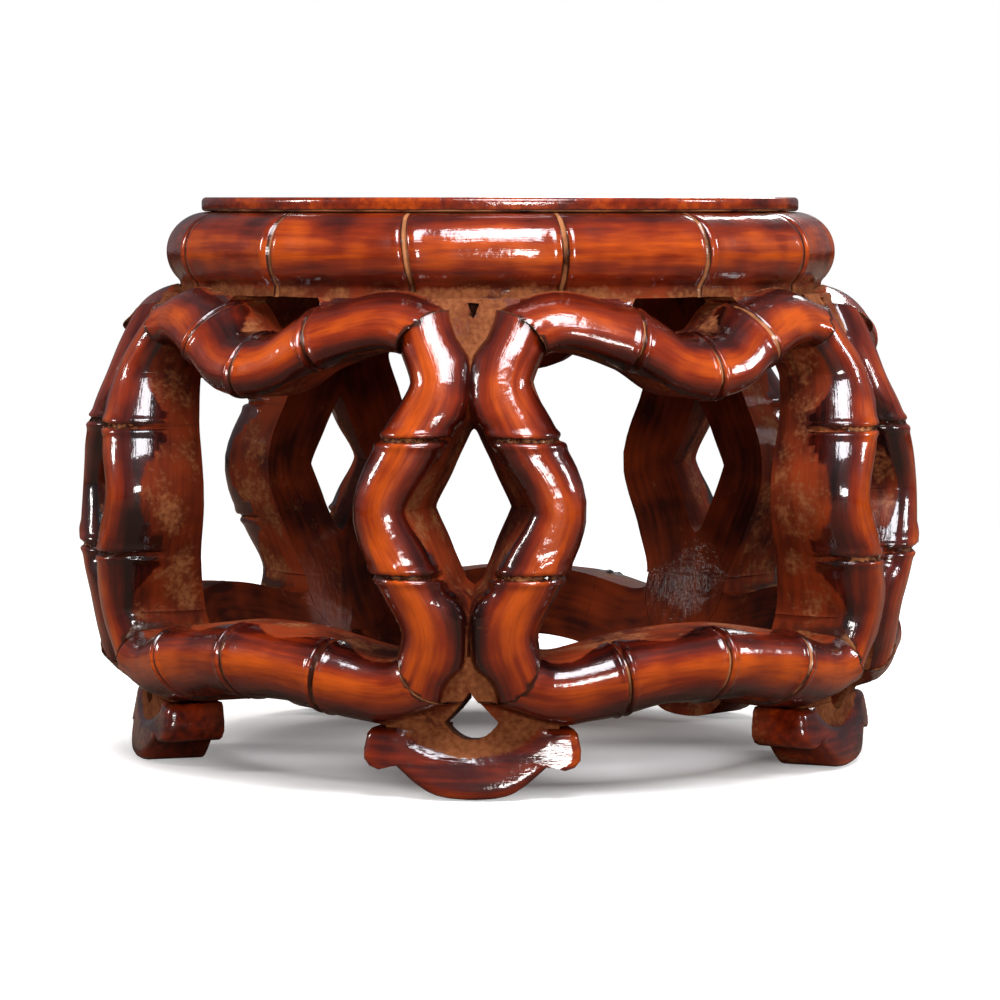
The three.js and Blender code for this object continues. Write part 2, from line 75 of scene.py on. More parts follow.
CANE_HALF = 4.9
CANE_CROWN = 7.0
EYE_CROWN = 3.6
EYE_FLARE = 1.9
NECK_OUT = 6.2
UPPER_NECK_OUT = 5.4
KNEE_OUT = 13.5
KNEE_Z = FOOT_TOP + 31.0
KNEE_SPAN = 17.0
TOP_RAIL_HALF = 4.65
TOP_RAIL_CROWN = 6.0
CREST_OUT = 16.1
BOTTOM_RAIL_HALF = 5.4
BOTTOM_RAIL_CROWN = 7.0
DIP_Z = FRAME_TOP - 9.05
CREST_Z = FRAME_TOP - 2.9
ARCH_Z = FOOT_TOP + 8.1
SAG_Z = FOOT_TOP + 5.2
SAG_OUT = 14.5
TOP_MITRE = (8.4, FRAME_TOP - 4.2)  # where a leg's cane and a rail meet: round the belly, height
BOTTOM_MITRE = (8.2, FOOT_TOP + 7.1)
CANE_RUN = 4.5
JOINT_LAP = 0.08  # pieces start this far into each other, because carving takes more than that off
SEAT_LAP = 0.15  # and those under the rim start up to this far into it
TOP_WEB_SETBACK = 3.0
BOTTOM_WEB_SETBACK = 2.9
HEEL_SETBACK = 4.4
HEEL_RISE = 4.0
# Where a leg's canes end on the rails, as arcs: middle, half widths, first and last angle
TOP_TOE = (3.6, 59.6, 9.0, 8.4, -12, 100)
BOTTOM_TOE = (2.9, 21.3, 7.9, 7.6, 12, -104)
SHOULDER_SETBACK = 3.6
SHOULDER_END = 28.7
SHOULDER_DEPTH = 5.4
FOOT_FRONT = BELLY_RADIUS - FOOT_FALL - 2.6
FOOT_DEPTH = 9.8
DROP_HALF = 3.7  # the drop hole's corners, its point over them and its round floor under them
DROP_CORNER = 11.0
DROP_TOP = 15.3
DROP_SAG = 2.3
DROP_SLOPE = 0.1
HOLLOW_DEPTH = 2.4
FOOT_HALF = 16.0
SOLE_HALF = 6.0  # a foot's sole turns up beyond this, by so much, round such a bend, to the notch
SOLE_FLARE = 0.9
SOLE_ROUND = 2.4
NOTCH_OUT = 11.3
RIM_NODES = 14
RIM_NODE_TURN = math.radians(1.4)
LIP_RADIUS = RIM_RADIUS - 5.3
PLUG_RADIUS = LIP_RADIUS - 2.4


def linear(code):
    """An sRGB hex colour as linear red, green, blue and alpha."""
    parts = [int(code[i : i + 2], 16) / 255 for i in (1, 3, 5)]
    return (*[p / 12.92 if p <= 0.04045 else ((p + 0.055) / 1.055) ** 2.4 for p in parts], 1.0)


# ---------------------------------------------------------------- the barrel's shape


def outer_radius(z):
    above = np.asarray(z, float) - FOOT_TOP - BELLY_RISE
    reach = np.where(above > 0, FRAME_TOP - FOOT_TOP - BELLY_RISE, BELLY_RISE)
    fall = np.where(above > 0, TOP_FALL, FOOT_FALL)
    return BELLY_RADIUS - SKIN_INSET - fall * (above / reach) ** 2


def inner_radius(z):
    return BELLY_RADIUS - WALL - (np.asarray(z, float) - FOOT_TOP - INNER_RISE) ** 2 / (2 * INNER_SWEEP)


def on_barrel(turn, r, z):
    """Points from distances round the belly, radii and heights, in millimetres."""
    angle = np.asarray(turn, float) / BELLY_RADIUS
    return np.stack([r * np.sin(angle), -r * np.cos(angle), np.broadcast_to(z, angle.shape)], -1)


def smooth(low, high, value):
    t = np.clip((value - low) / (high - low), 0, 1)
    return t * t * (3 - 2 * t)


class Line:
    """A cane's centre line through points of distance round the belly and height."""

    def __init__(self, points, nodes, node_axis):
        pts = np.array(points, float)
        dense = []
        for i in range(len(pts) - 1):
            before, after = pts[max(i - 1, 0)], pts[min(i + 2, len(pts) - 1)]
            a, b = pts[i], pts[i + 1]
            start, end = (b - before) / 2, (after - a) / 2
            for t in np.linspace(0, 1, 60, endpoint=False):
                dense.append(
                    (2 * a - 2 * b + start + end) * t**3
                    + (-3 * a + 3 * b - 2 * start - end) * t**2
                    + start * t
                    + a
                )
        dense.append(pts[-1])
        self.points = np.array(dense)
        self.scale = outer_radius(self.points[:, 1]) / BELLY_RADIUS
        steps = np.linalg.norm(np.diff(self.points, axis=0), axis=1)
        self.at = np.concatenate([[0], np.cumsum(steps)])
        self.length = self.at[-1]
        along = np.gradient(self.points[:, 0]) * self.scale, np.gradient(self.points[:, 1])
        size = np.hypot(*along)
        self.along = np.stack([along[0] / size, along[1] / size], 1)
        axis = self.points[:, node_axis]
        self.nodes = [float(np.interp(value, axis, self.at)) for value in nodes]

    def sample(self, at):
        pick = [np.interp(at, self.at, column) for column in (*self.points.T, *self.along.T, self.scale)]
        return np.array(pick)

    def nearest(self, turn, z):
        """Distance along the line and signed distance across it, for each point."""
        at, across = np.zeros(len(turn)), np.zeros(len(turn))
        for start in range(0, len(turn), 4000):
            part = slice(start, start + 4000)
            dx = (turn[part, None] - self.points[None, :, 0]) * self.scale[None]
            dz = z[part, None] - self.points[None, :, 1]
            best = np.argmin(dx**2 + dz**2, 1)
            rows = np.arange(len(best))
            at[part] = self.at[best]
            across[part] = dx[rows, best] * self.along[best, 1] - dz[rows, best] * self.along[best, 0]
        return at, across


def across_panel(half):
    return half + [(2 * PANEL_HALF - x, y) for x, y in reversed(half)]


LOWER_MEAN = (NECK_OUT + KNEE_OUT) / 2
UPPER_MEAN = (UPPER_NECK_OUT + KNEE_OUT) / 2
LEG_LINE = Line(
    [
        (BOTTOM_MITRE[0] + CANE_RUN / 3, BOTTOM_MITRE[1] - CANE_RUN),
        BOTTOM_MITRE,
        (NECK_OUT, KNEE_Z - KNEE_SPAN),
        (LOWER_MEAN, KNEE_Z - KNEE_SPAN / 2),
        (KNEE_OUT, KNEE_Z),
        (UPPER_MEAN, KNEE_Z + KNEE_SPAN / 2),
        (UPPER_NECK_OUT, KNEE_Z + KNEE_SPAN),
        TOP_MITRE,
        (TOP_MITRE[0] + CANE_RUN / 3, TOP_MITRE[1] + CANE_RUN),
    ],
    [FOOT_TOP + 21.9, FOOT_TOP + 40.6],
    1,
)
TOP_LINE = Line(
    across_panel(
        [
            (TOP_MITRE[0] - CANE_RUN, TOP_MITRE[1] - CANE_RUN / 2),
            TOP_MITRE,
            (CREST_OUT, CREST_Z),
            ((CREST_OUT + PANEL_HALF) / 2, (CREST_Z + DIP_Z) / 2 + 0.4),
            (PANEL_HALF - CANE_RUN, DIP_Z),
        ]
    ),
    [27.8, PANEL_HALF, 2 * PANEL_HALF - 27.8],
    0,
)
BOTTOM_LINE = Line(
    across_panel(
        [
            (BOTTOM_MITRE[0] - CANE_RUN, BOTTOM_MITRE[1] + CANE_RUN / 4),
            (BOTTOM_MITRE[0], BOTTOM_MITRE[1] - 1),
            (SAG_OUT, SAG_Z),
            ((SAG_OUT + PANEL_HALF) / 2, (SAG_Z + ARCH_Z) / 2 + 0.7),
            (PANEL_HALF - CANE_RUN, ARCH_Z),
        ]
    ),
    [24.0, PANEL_HALF, 2 * PANEL_HALF - 24.0],
    0,
)


def node_rise(away, settings):
    """How far a cane's skin stands out, by its distance from a node: a groove between two lips."""
    away = np.abs(away)
    groove = settings.groove_depth / MM * np.exp(-((away / 0.24) ** 2))
    lips = 0.3 * np.exp(-(((away - 0.8) / 0.55) ** 2))
    return lips - groove - 0.3 * smooth(1.2, 8.0, away)


# ---------------------------------------------------------------- mesh tools


def only(obj):
    bpy.ops.object.select_all(action="DESELECT")
    obj.select_set(True)
    bpy.context.view_layer.objects.active = obj


def edit(obj):
    only(obj)
    bpy.ops.object.mode_set(mode="EDIT")


def leave():
    bpy.ops.object.mode_set(mode="OBJECT")


def coords(obj):
    out = np.zeros(len(obj.data.vertices) * 3)
    obj.data.vertices.foreach_get("co", out)
    return out.reshape(-1, 3)


def set_coords(obj, points):
    obj.data.vertices.foreach_set("co", np.asarray(points, float).ravel())
    obj.data.update()


def blank_tube(name, rings, around):
    """A closed cylinder with that many rings; its vertices give their ring and place in it."""
    bpy.ops.object.select_all(action="DESELECT")
    bpy.ops.mesh.primitive_cylinder_add(vertices=around, radius=1, depth=2, end_fill_type="NGON")
    obj = bpy.context.object
    obj.name = name
    edit(obj)
    bpy.ops.mesh.select_all(action="DESELECT")
    leave()
    verts = obj.data.vertices
    for edge in obj.data.edges:
        a, b = (verts[i].co.z for i in edge.vertices)
        edge.select = abs(a - b) > 1
    edit(obj)
    bpy.ops.mesh.select_mode(type="EDGE")
    bpy.ops.mesh.subdivide(number_cuts=rings - 2)
    leave()
    co = coords(obj)
    ring = np.rint((co[:, 2] + 1) / 2 * (rings - 1)).astype(int)
    place = np.rint(np.arctan2(co[:, 1], co[:, 0]) / (2 * math.pi) * around).astype(int) % around
    return obj, ring, place


def face_out(obj):
    edit(obj)
    bpy.ops.mesh.select_all(action="SELECT")
    bpy.ops.mesh.remove_doubles(threshold=1e-6)
    bpy.ops.mesh.normals_make_consistent(inside=False)
    leave()


def shaped_tube(name, table):
    """A closed tube through rows of points: table is rings by places by x, y, z in millimetres."""
    obj, ring, place = blank_tube(name, table.shape[0], table.shape[1])
    set_coords(obj, table[ring, place] * MM)
    face_out(obj)
    return obj


def rolled_grid(name, table):
    """A grid rolled up both ways into a closed ring; its vertices give their ring and place in it."""
    rings, around = table.shape[:2]
    bpy.ops.object.select_all(action="DESELECT")
    bpy.ops.mesh.primitive_grid_add(x_subdivisions=around, y_subdivisions=rings, size=2)
    obj = bpy.context.object
    obj.name = name
    co = coords(obj)
    place = np.rint((co[:, 0] + 1) / 2 * around).astype(int) % around
    ring = np.rint((co[:, 1] + 1) / 2 * rings).astype(int) % rings
    set_coords(obj, table[ring, place] * MM)
    return obj, ring, place


def combine(obj, other, operation):
    """Joins or cuts two closed solids."""
    modifier = obj.modifiers.new("combine", "BOOLEAN")
    modifier.operation = operation
    modifier.solver = "EXACT"
    modifier.object = other
    only(obj)
    bpy.ops.object.modifier_apply(modifier=modifier.name)
    bpy.data.objects.remove(other)
    return obj


def copy_of(obj, name):
    twin = obj.copy()
    twin.data = obj.data.copy()
    twin.name = name
    bpy.context.scene.collection.objects.link(twin)
    return twin


def move_mesh(obj, matrix):
    obj.data.transform(matrix)
    if matrix.determinant() < 0:
        obj.data.flip_normals()
    obj.data.update()


MIRROR = Matrix.Scale(-1, 4, (1, 0, 0))
TO_NEXT = Matrix.Rotation(2 * math.pi / LEGS, 4, "Z") @ MIRROR


def combine_twice(obj, other, operation, matrix):
    """Joins or cuts a solid, and its twin moved to the other side."""
    twin = copy_of(other, "twin")
    move_mesh(twin, matrix)
    return combine(combine(obj, other, operation), twin, operation)


def split_faces(obj):
    """Splits a cut piece into triangles. Two wide faces that share a bend in their edge can both be
    split along the same line there, and the two triangles left back to back are dropped."""
    edit(obj)
    bpy.ops.mesh.select_all(action="SELECT")
    bpy.ops.mesh.quads_convert_to_tris(quad_method="BEAUTY", ngon_method="BEAUTY")
    bpy.ops.mesh.select_mode(type="FACE")
    bpy.ops.mesh.select_all(action="DESELECT")
    leave()
    faces = obj.data.polygons
    uses = Counter(key for face in faces for key in face.edge_keys)
    twins = Counter(tuple(sorted(face.vertices)) for face in faces)
    for face in faces:
        is_doubled = twins[tuple(sorted(face.vertices))] > 1
        face.select = is_doubled or sum(uses[key] == 1 for key in face.edge_keys) > 1
    edit(obj)
    bpy.ops.mesh.delete(type="FACE")
    leave()


def crown_depth(across, half, crown):
    """How far a cane's rounding falls back from its ridge."""
    inside = np.clip(1 - (across / half) ** 2, 0, 1)
    return crown * (1 - inside**0.45)


def eye_half(line, at, half, is_leg):
    """Half width on the eye's side: where a leg's two canes run close, they widen until they touch."""
    if not is_leg:
        return np.full(np.shape(at), float(half))
    turn, z = (np.interp(at, line.at, column) for column in line.points.T)
    neck = np.where(z > KNEE_Z, UPPER_NECK_OUT, NECK_OUT)
    return half + np.maximum(turn + 0.15 - half, 0) * (1 - smooth(0.1, 1.4, turn - neck))


def away_from_nodes(line, at, z, is_leg):
    """Distance to the nearest node: along the cane, or straight up on a leg, whose nodes are level."""
    if is_leg:
        heights = np.interp(line.nodes, line.at, line.points[:, 1])
        return np.min(np.abs(z[..., None] - heights), -1)
    return np.min(np.abs(at[..., None] - np.array(line.nodes)), -1)


def cane_tube(name, line, half, crowns, flare, settings, is_leg=False, buds=()):
    """A cane's solid: rounded in front, flat at its sides, down to the barrel's inner face."""
    reach = 5.0 if is_leg else 2.0
    stations = list(np.arange(0, line.length, 0.8)) + [line.length]
    for node in line.nodes:
        stations = [s for s in stations if abs(s - node) > reach]
        stations += list(node + np.arange(-reach, reach + 0.01, 0.16))
    stations = np.array(sorted(stations))
    turn, z, along_x, along_z, scale = (row[:, None] for row in line.sample(stations))
    # Across the cane: the eye side's wall, the rounding from there, and the other wall
    wall = np.linspace(1, 0, 5)[:-1]
    bend = np.cos(np.linspace(math.pi, 0, 35))
    share = np.concatenate([wall, np.zeros(35), wall[::-1]])
    lean = np.concatenate([np.full(4, -1.0), bend, np.full(4, 1.0)])
    is_front = share == 0
    halves = np.where(lean < 0, eye_half(line, stations, half, is_leg)[:, None], half)
    side = lean * halves - flare * share * (lean < 0)
    depth = crown_depth(lean * halves, halves, np.where(lean < 0, crowns[0], crowns[1]))
    level_z = z - side * along_x
    at = np.broadcast_to(stations[:, None], level_z.shape)
    rise = node_rise(away_from_nodes(line, at, level_z, is_leg), settings) * is_front
    for bud_at, bud_side, heading in buds:
        # A leaf bud lies along the cane, widest at its foot
        ahead = (at - bud_at) * heading
        share_on = np.clip(ahead / 4.2, 0, 1)
        width = 1.5 * (1 - share_on) ** 0.7 + 0.15
        swell = np.exp(-(((side - bud_side) / width) ** 2)) * smooth(-0.5, 0.5, ahead)
        rise = rise + 0.75 * swell * (1 - share_on**2) * (np.abs(side) < half) * is_front
    slack = np.abs(side) / halves
    out = side + np.sign(side) * np.minimum(rise, 0.3) * slack
    points_turn = turn + out * along_z / scale
    points_z = z - out * along_x
    front = outer_radius(points_z) - np.maximum(depth - rise * (1 - slack * 0.5), -0.3)
    r = front * (1 - share) + inner_radius(points_z) * share
    return shaped_tube(name, on_barrel(points_turn, r, points_z))


def prism(name, outline, low=34.0, high=76.0):
    """A cutter through the whole wall, over an outline of distances round the belly and heights."""
    ring = np.array(outline, float)
    rows = [on_barrel(ring[:, 0], r, ring[:, 1]) for r in np.linspace(low, high, 4)]
    return shaped_tube(name, np.array(rows))


def toe_arc(toe, grow):
    middle_x, middle_z, half_x, half_z, first, last = toe
    angle = np.radians(np.linspace(first, last, 28))
    return [
        (middle_x + (half_x + grow) * math.cos(a), middle_z + (half_z + grow) * math.sin(a)) for a in angle
    ]


def beyond_toe(toe, is_top):
    """All that lies outside a toe, on the rail's side."""
    edge = FRAME_TOP + 3 if is_top else FOOT_TOP - 4
    arc = toe_arc(toe, JOINT_LAP)
    return prism("beyond_toe", arc + [(arc[-1][0], edge), (26, edge), (26, arc[0][1])])


def inside_toe(toe, is_top):
    """All that lies inside a toe, on the leg's side."""
    edge = FRAME_TOP + 3 if is_top else FOOT_TOP - 4
    back = 52.0 if is_top else 30.0
    arc = toe_arc(toe, -JOINT_LAP)
    return prism("inside_toe", arc + [(arc[-1][0], edge), (-9, edge), (-9, back), (arc[0][0], back)])


def wall_block(name, outline, setback, hollow=0.0, inset=0.0, steps=7):
    """A block of the barrel's wall, over an outline, with its outer face hollowed towards its middle.
    An inset keeps its inner face clear of the inner face of the piece that it is joined to."""
    corners = np.array(outline, float)
    nexts = np.roll(corners, -1, 0)
    edge = np.linspace(0, 1, steps, endpoint=False)[:, None]
    ring = np.concatenate([a + (b - a) * edge for a, b in zip(corners, nexts)])
    middle = ring.mean(0)
    table = []
    for share, is_outer in [(0.05, 0), (0.6, 0), (1, 0), (1, 1), (0.85, 1), (0.6, 1), (0.35, 1), (0.05, 1)]:
        flat = middle + (ring - middle) * share
        z = flat[:, 1]
        r = outer_radius(z) - setback - hollow * (1 - share**2) if is_outer else inner_radius(z) + inset
        table.append(on_barrel(flat[:, 0], r, z))
    return shaped_tube(name, np.array(table))


def hand_carve(obj, depth, seed):
    """Takes a little off everywhere, as a hand-carved surface has it; never adds."""
    offset = Vector((seed * 3.1, seed * 1.7, seed * 2.3))
    normals = [v.normal.copy() for v in obj.data.vertices]
    for vert, normal in zip(obj.data.vertices, normals):
        place = vert.co / MM
        amount = 0.5 + 0.5 * noise.noise(place / 6.5 + offset)
        amount += 0.25 * (0.5 + 0.5 * noise.noise(place / 2.6 + offset))
        vert.co -= normal * depth * amount * MM
    obj.data.update()


def store(obj, name, values):
    kind = "FLOAT_VECTOR" if np.ndim(values) == 2 else "FLOAT"
    layer = obj.data.attributes.new(name=name, type=kind, domain="POINT")
    field = "vector" if kind == "FLOAT_VECTOR" else "value"
    layer.data.foreach_set(field, np.asarray(values, np.float32).ravel())


def raise_mark(obj, name, least):
    """Raises a stored attribute to at least the given values."""
    layer = obj.data.attributes[name]
    values = np.zeros(len(least), np.float32)
    layer.data.foreach_get("value", values)
    layer.data.foreach_set("value", np.maximum(values, least).astype(np.float32))


def barrel_places(co):
    turn = np.arctan2(co[:, 0], -co[:, 1]) * BELLY_RADIUS
    return turn, np.hypot(co[:, 0], co[:, 1]), co[:, 2]


def toe_distance(turn, z, toe, is_top):
    middle_x, middle_z, half_x, half_z = toe[:4]
    x, y = (turn - middle_x) / half_x, (z - middle_z) / half_z
    away = np.abs(np.hypot(x, y) - 1) * (half_x + half_z) / 2
    side = y > -0.25 if is_top else y < 0.25
    return np.where(side, away, 9.0)


def rim_distance(r, z):
    """Distance from the rim's rounded outside."""
    return np.hypot(r - (RIM_RADIUS - RIM_CROWN), z - (FRAME_TOP + RIM_TOP) / 2) - RIM_CROWN


def mark_cane(obj, line, half, crowns, toe_list, is_leg, grime):
    """Stores where the lacquer is dull, where dust and wax lie, painted light and shade, and which way the
    grain runs.
    """
    co = coords(obj) / MM
    turn, r, z = barrel_places(co)
    local = np.abs(turn)
    if not is_leg:
        local = np.where(turn > PANEL_HALF, 2 * PANEL_HALF - turn, turn)
    at, across = line.nearest(local, z)
    depth = outer_radius(z) - r
    halves = np.where(across < 0, eye_half(line, at, half, is_leg), half)
    expected = crown_depth(across, halves, np.where(across < 0, crowns[0], crowns[1]))
    below = smooth(0.5, 1.1, depth - expected)
    off_cane = smooth(0.1, 0.5, np.abs(across) - halves)
    dull = np.maximum(off_cane, below)
    inner_side = smooth(1.6, 0.8, r - inner_radius(z))
    wax = grime * (1 - smooth(0.18, 0.42, away_from_nodes(line, at, z, is_leg))) * (1 - 0.6 * dull)
    for toe, is_top in toe_list:
        seam = 1 - smooth(0.06, 0.26, toe_distance(local, z, toe, is_top))
        wax = np.maximum(wax, 0.9 * seam * (1 - 0.7 * below))
    crevice = 1 - smooth(0.4, 1.8, rim_distance(r, z))
    # The facets between and beside the canes are full of dust; the walls carry patches of it
    setback = np.where(z > KNEE_Z, TOP_WEB_SETBACK, BOTTOM_WEB_SETBACK)
    facet = smooth(0.4, 0.2, np.abs(depth - setback)) * (across < -0.5 * halves) if is_leg else 0 * z
    facet = np.maximum(facet * (np.abs(z - KNEE_Z) > KNEE_SPAN - 1), off_cane * smooth(5.5, 4.2, depth))
    facet = np.maximum(facet, crevice)
    dust = np.maximum(facet, dull * (0.52 - 0.34 * inner_side))
    if is_leg:
        # Painted shade: the little hole at the top facet is painted dark inside, with the wax mark's grime
        # colour, and kept free of dust
        hole = (local < 1.0) * (np.abs(z - FRAME_TOP + 1.5) < 1.5)
        hole = hole * smooth(0.3, 0.8, depth - TOP_WEB_SETBACK)
        dust, wax = dust * (1 - hole), np.maximum(wax, 0.7 * hole)
    store(obj, "sawn", np.maximum(dull * (1 - 0.25 * inner_side), facet))
    store(obj, "dust", dust)
    store(obj, "wax", wax)
    # Painted highlight along the cane's crest, falling to painted shade at its edges and over dull parts
    store(obj, "crest_painted_light", (1 - smooth(0.1, 0.98, np.abs(across) / halves)) * (1 - 0.6 * dull))
    store(obj, "grain", np.stack([at, across, depth], 1))


def finish_piece(obj, material, node_name, angle=38):
    only(obj)
    bpy.ops.object.shade_smooth_by_angle(angle=math.radians(angle))
    obj.data.materials.clear()
    obj.data.materials.append(material)
    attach(obj, "root")
    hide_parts(node_name)


def spread(model, name, node_names, material, depth=0.16):
    """Turns copies of one modelled piece to their places, each carved a little differently."""
    split_faces(model)
    for k, node_name in enumerate(node_names):
        piece = model if k == LEGS - 1 else copy_of(model, f"{name}_{k + 1}")
        piece.name = f"{name}_{k + 1}"
        move_mesh(piece, Matrix.Rotation(2 * math.pi * k / LEGS, 4, "Z"))
        hand_carve(piece, depth, k + 1)
        finish_piece(piece, material, node_name)


# ---------------------------------------------------------------- materials


def add_node(tree, kind, inputs=None, **settings):
    """Adds a node, sets its own settings, and sets or links its inputs."""
    made = tree.nodes.new(kind)
    for key, value in settings.items():
        setattr(made, key, value)
    for key, value in (inputs or {}).items():
        if isinstance(value, bpy.types.NodeSocket):
            tree.links.new(value, made.inputs[key])
        else:
            made.inputs[key].default_value = value
    return made


def blend(tree, factor, first, second, kind="MIX"):
    mix = add_node(
        tree, "ShaderNodeMix", {0: factor, 6: first, 7: second}, data_type="RGBA", blend_type=kind
    )
    return mix.outputs[2]


def ramp(tree, factor, stops):
    made = add_node(tree, "ShaderNodeValToRGB", {"Fac": factor})
    bands = made.color_ramp.elements
    while len(bands) < len(stops):
        bands.new(0.5)
    for band, (at, colour) in zip(bands, stops):
        band.position = at
        band.color = colour
    return made.outputs["Color"]


def maths(tree, operation, *values):
    return add_node(tree, "ShaderNodeMath", dict(enumerate(values)), operation=operation).outputs[0]


def grey(value):
    return (value, value, value, 1)


def attribute(tree, name, output="Fac"):
    return add_node(tree, "ShaderNodeAttribute", attribute_name=name).outputs[output]


def stretched_noise(tree, vector, scale, detail):
    mapped = add_node(tree, "ShaderNodeMapping", {"Vector": vector, "Scale": scale})
    made = add_node(
        tree, "ShaderNodeTexNoise", {"Vector": mapped.outputs["Vector"], "Scale": 1.0, "Detail": detail}
    )
    return made.outputs["Fac"]


def lacquered_rosewood(settings):
    """Rosewood, carved, stained and lacquered. Crests carry a painted orange highlight, and the hollows
    between canes a painted shade, nearly black. Walls are dull, with patches of brown dust, and pale wax or
    dark grime fills grooves."""
    material = bpy.data.materials.new("lacquered_rosewood")
    material.use_nodes = True
    tree = material.node_tree
    tree.nodes.clear()
    grain = attribute(tree, "grain", "Vector")
    place = add_node(tree, "ShaderNodeTexCoord").outputs["Object"]
    sawn, dust, wax, crest_painted_light = (attribute(tree, name) for name in ("sawn", "dust", "wax", "crest_painted_light"))
    # The grain attribute is in millimetres: streaks about 1 mm wide and 12 mm long, then finer pores
    streaks = stretched_noise(tree, grain, (0.08, 0.9, 0.9), 5.0)
    pores = stretched_noise(tree, grain, (0.3, 4.0, 4.0), 3.0)
    # Blotches of stain about 9 mm across, patches of dust 5 mm across, and specks under 1 mm across
    blotch = stretched_noise(tree, place, (110.0, 110.0, 110.0), 2.0)
    patch = stretched_noise(tree, place, (190.0, 190.0, 190.0), 4.0)
    specks = stretched_noise(tree, place, (1400.0, 1400.0, 1400.0), 3.0)
    tone = maths(tree, "MULTIPLY", streaks, 0.36)
    tone = maths(tree, "MULTIPLY_ADD", blotch, 0.48, tone)
    # Painted highlight and shade: the crest mark lifts the stain towards the glow colour along each crest and
    # lowers it towards the dark stain at the edges
    tone = maths(tree, "MULTIPLY_ADD", crest_painted_light, 0.29, tone)
    stain = ramp(
        tree,
        tone,
        [
            (0.36, linear(settings.dark)),
            (0.5, linear(settings.middle)),
            (0.64, linear(settings.bright)),
            (0.8, linear(settings.glow)),
        ],
    )
    fine = ramp(tree, pores, [(0.32, grey(0.6)), (0.5, grey(1.0))])
    stain = blend(tree, 0.4, stain, fine, "MULTIPLY")
    walls = ramp(
        tree,
        maths(tree, "MULTIPLY_ADD", blotch, 0.7, maths(tree, "MULTIPLY", streaks, 0.3)),
        [(0.38, linear(settings.wall_dark)), (0.62, linear(settings.wall))],
    )
    # Polished lacquer gives way to dull lacquer with an uneven edge
    uneven = maths(tree, "MULTIPLY_ADD", specks, 0.5, maths(tree, "SUBTRACT", sawn, 0.25))
    dull = ramp(tree, uneven, [(0.35, grey(0)), (0.65, grey(1))])
    colour = blend(tree, dull, stain, walls)
    # Dust lies in soft patches with grainy edges
    settled = maths(tree, "MULTIPLY_ADD", patch, 1.4, maths(tree, "MULTIPLY_ADD", dust, 0.85, -0.7))
    settled = maths(tree, "MULTIPLY_ADD", specks, 0.7, maths(tree, "SUBTRACT", settled, 0.35))
    dusty = ramp(tree, settled, [(0.38, grey(0)), (0.72, grey(1))])
    mottled = maths(tree, "MULTIPLY_ADD", specks, 0.5, maths(tree, "MULTIPLY", patch, 0.5))
    dust_tone = ramp(tree, mottled, [(0.38, linear(settings.dust_dark)), (0.62, linear(settings.dust))])
    colour = blend(tree, dusty, colour, dust_tone)
    # Where little wax was left, the groove holds dark grime instead
    # The wax mark also carries the painted shade inside the little hole at a leg's top facet, which takes the
    # grime colour
    waxed = maths(tree, "MULTIPLY_ADD", specks, 0.6, maths(tree, "SUBTRACT", wax, 0.3))
    waxed = ramp(tree, waxed, [(0.3, grey(0)), (0.62, grey(1))])
    pale = maths(tree, "MULTIPLY_ADD", patch, 1.1, maths(tree, "SUBTRACT", wax, 0.66))
    pale = ramp(tree, pale, [(0.7, grey(0)), (0.95, grey(1))])
    filling = blend(tree, pale, linear(settings.grime), linear(settings.wax))
    colour = blend(tree, waxed, colour, filling)
    matt = maths(tree, "MAXIMUM", dusty, maths(tree, "MULTIPLY", waxed, 0.45))
    rough = maths(tree, "MULTIPLY_ADD", dull, 0.35, maths(tree, "MULTIPLY_ADD", blotch, 0.12, 0.34))
    rough = maths(tree, "MAXIMUM", rough, maths(tree, "MULTIPLY", matt, 0.9))
    coat = maths(tree, "SUBTRACT", 1.0, maths(tree, "MAXIMUM", matt, maths(tree, "MULTIPLY", dull, 0.96)))
    # Brushed lacquer is never quite level: hollows about 1.5 mm across, over the grain's own relief
    level = stretched_noise(tree, place, (650.0, 650.0, 650.0), 2.0)
    height = maths(tree, "MULTIPLY_ADD", pores, 0.25, maths(tree, "MULTIPLY", streaks, 0.4))
    height = maths(tree, "MULTIPLY_ADD", level, 0.6, height)
    bump = add_node(
        tree, "ShaderNodeBump", {"Strength": 0.3, "Distance": 0.0003, "Height": height}
    ).outputs["Normal"]
    shader = add_node(
        tree,
        "ShaderNodeBsdfPrincipled",
        {
            "Base Color": colour,
            "Roughness": rough,
            "IOR": 1.5,
            "Specular IOR Level": 0.12,
            "Coat Weight": coat,
            "Coat Roughness": 0.07,
            "Coat IOR": 1.62,
            "Normal": bump,
            "Coat Normal": bump,
        },
    )
    add_node(tree, "ShaderNodeOutputMaterial", {"Surface": shader.outputs["BSDF"]})
    return material


def turned_dowel_wood(settings):
    """Plain hardwood rod, cut and left bare: pale brown, dull, with fine lengthwise grain."""
    material = bpy.data.materials.new("turned_dowel_wood")
    material.use_nodes = True
    tree = material.node_tree
    tree.nodes.clear()
    place = add_node(tree, "ShaderNodeTexCoord").outputs["Object"]
    fibres = stretched_noise(tree, place, (2500.0, 2500.0, 120.0), 3.0)
    colour = ramp(tree, fibres, [(0.35, linear(settings.wall)), (0.65, linear(settings.wax))])
    shader = add_node(tree, "ShaderNodeBsdfPrincipled", {"Base Color": colour, "Roughness": 0.7})
    add_node(tree, "ShaderNodeOutputMaterial", {"Surface": shader.outputs["BSDF"]})
    return material


def finish_named(make, name, settings):
    return bpy.data.materials.get(name) or make(settings)


def wood(settings):
    return finish_named(lacquered_rosewood, "lacquered_rosewood", settings)


# ---------------------------------------------------------------- the pieces


def rim_profile(radius, grow=0.0, steps=33):
    """The rim's half-round outside, from its underside to its top."""
    angle = np.linspace(-math.pi / 2, math.pi / 2, steps)
    middle = (FRAME_TOP + RIM_TOP) / 2
    half = (RIM_TOP - FRAME_TOP) / 2
    r = radius - RIM_CROWN + (RIM_CROWN + grow) * np.cos(angle)
    return r, np.clip(middle + (half + grow) * np.sin(angle), FRAME_TOP, RIM_TOP + grow)


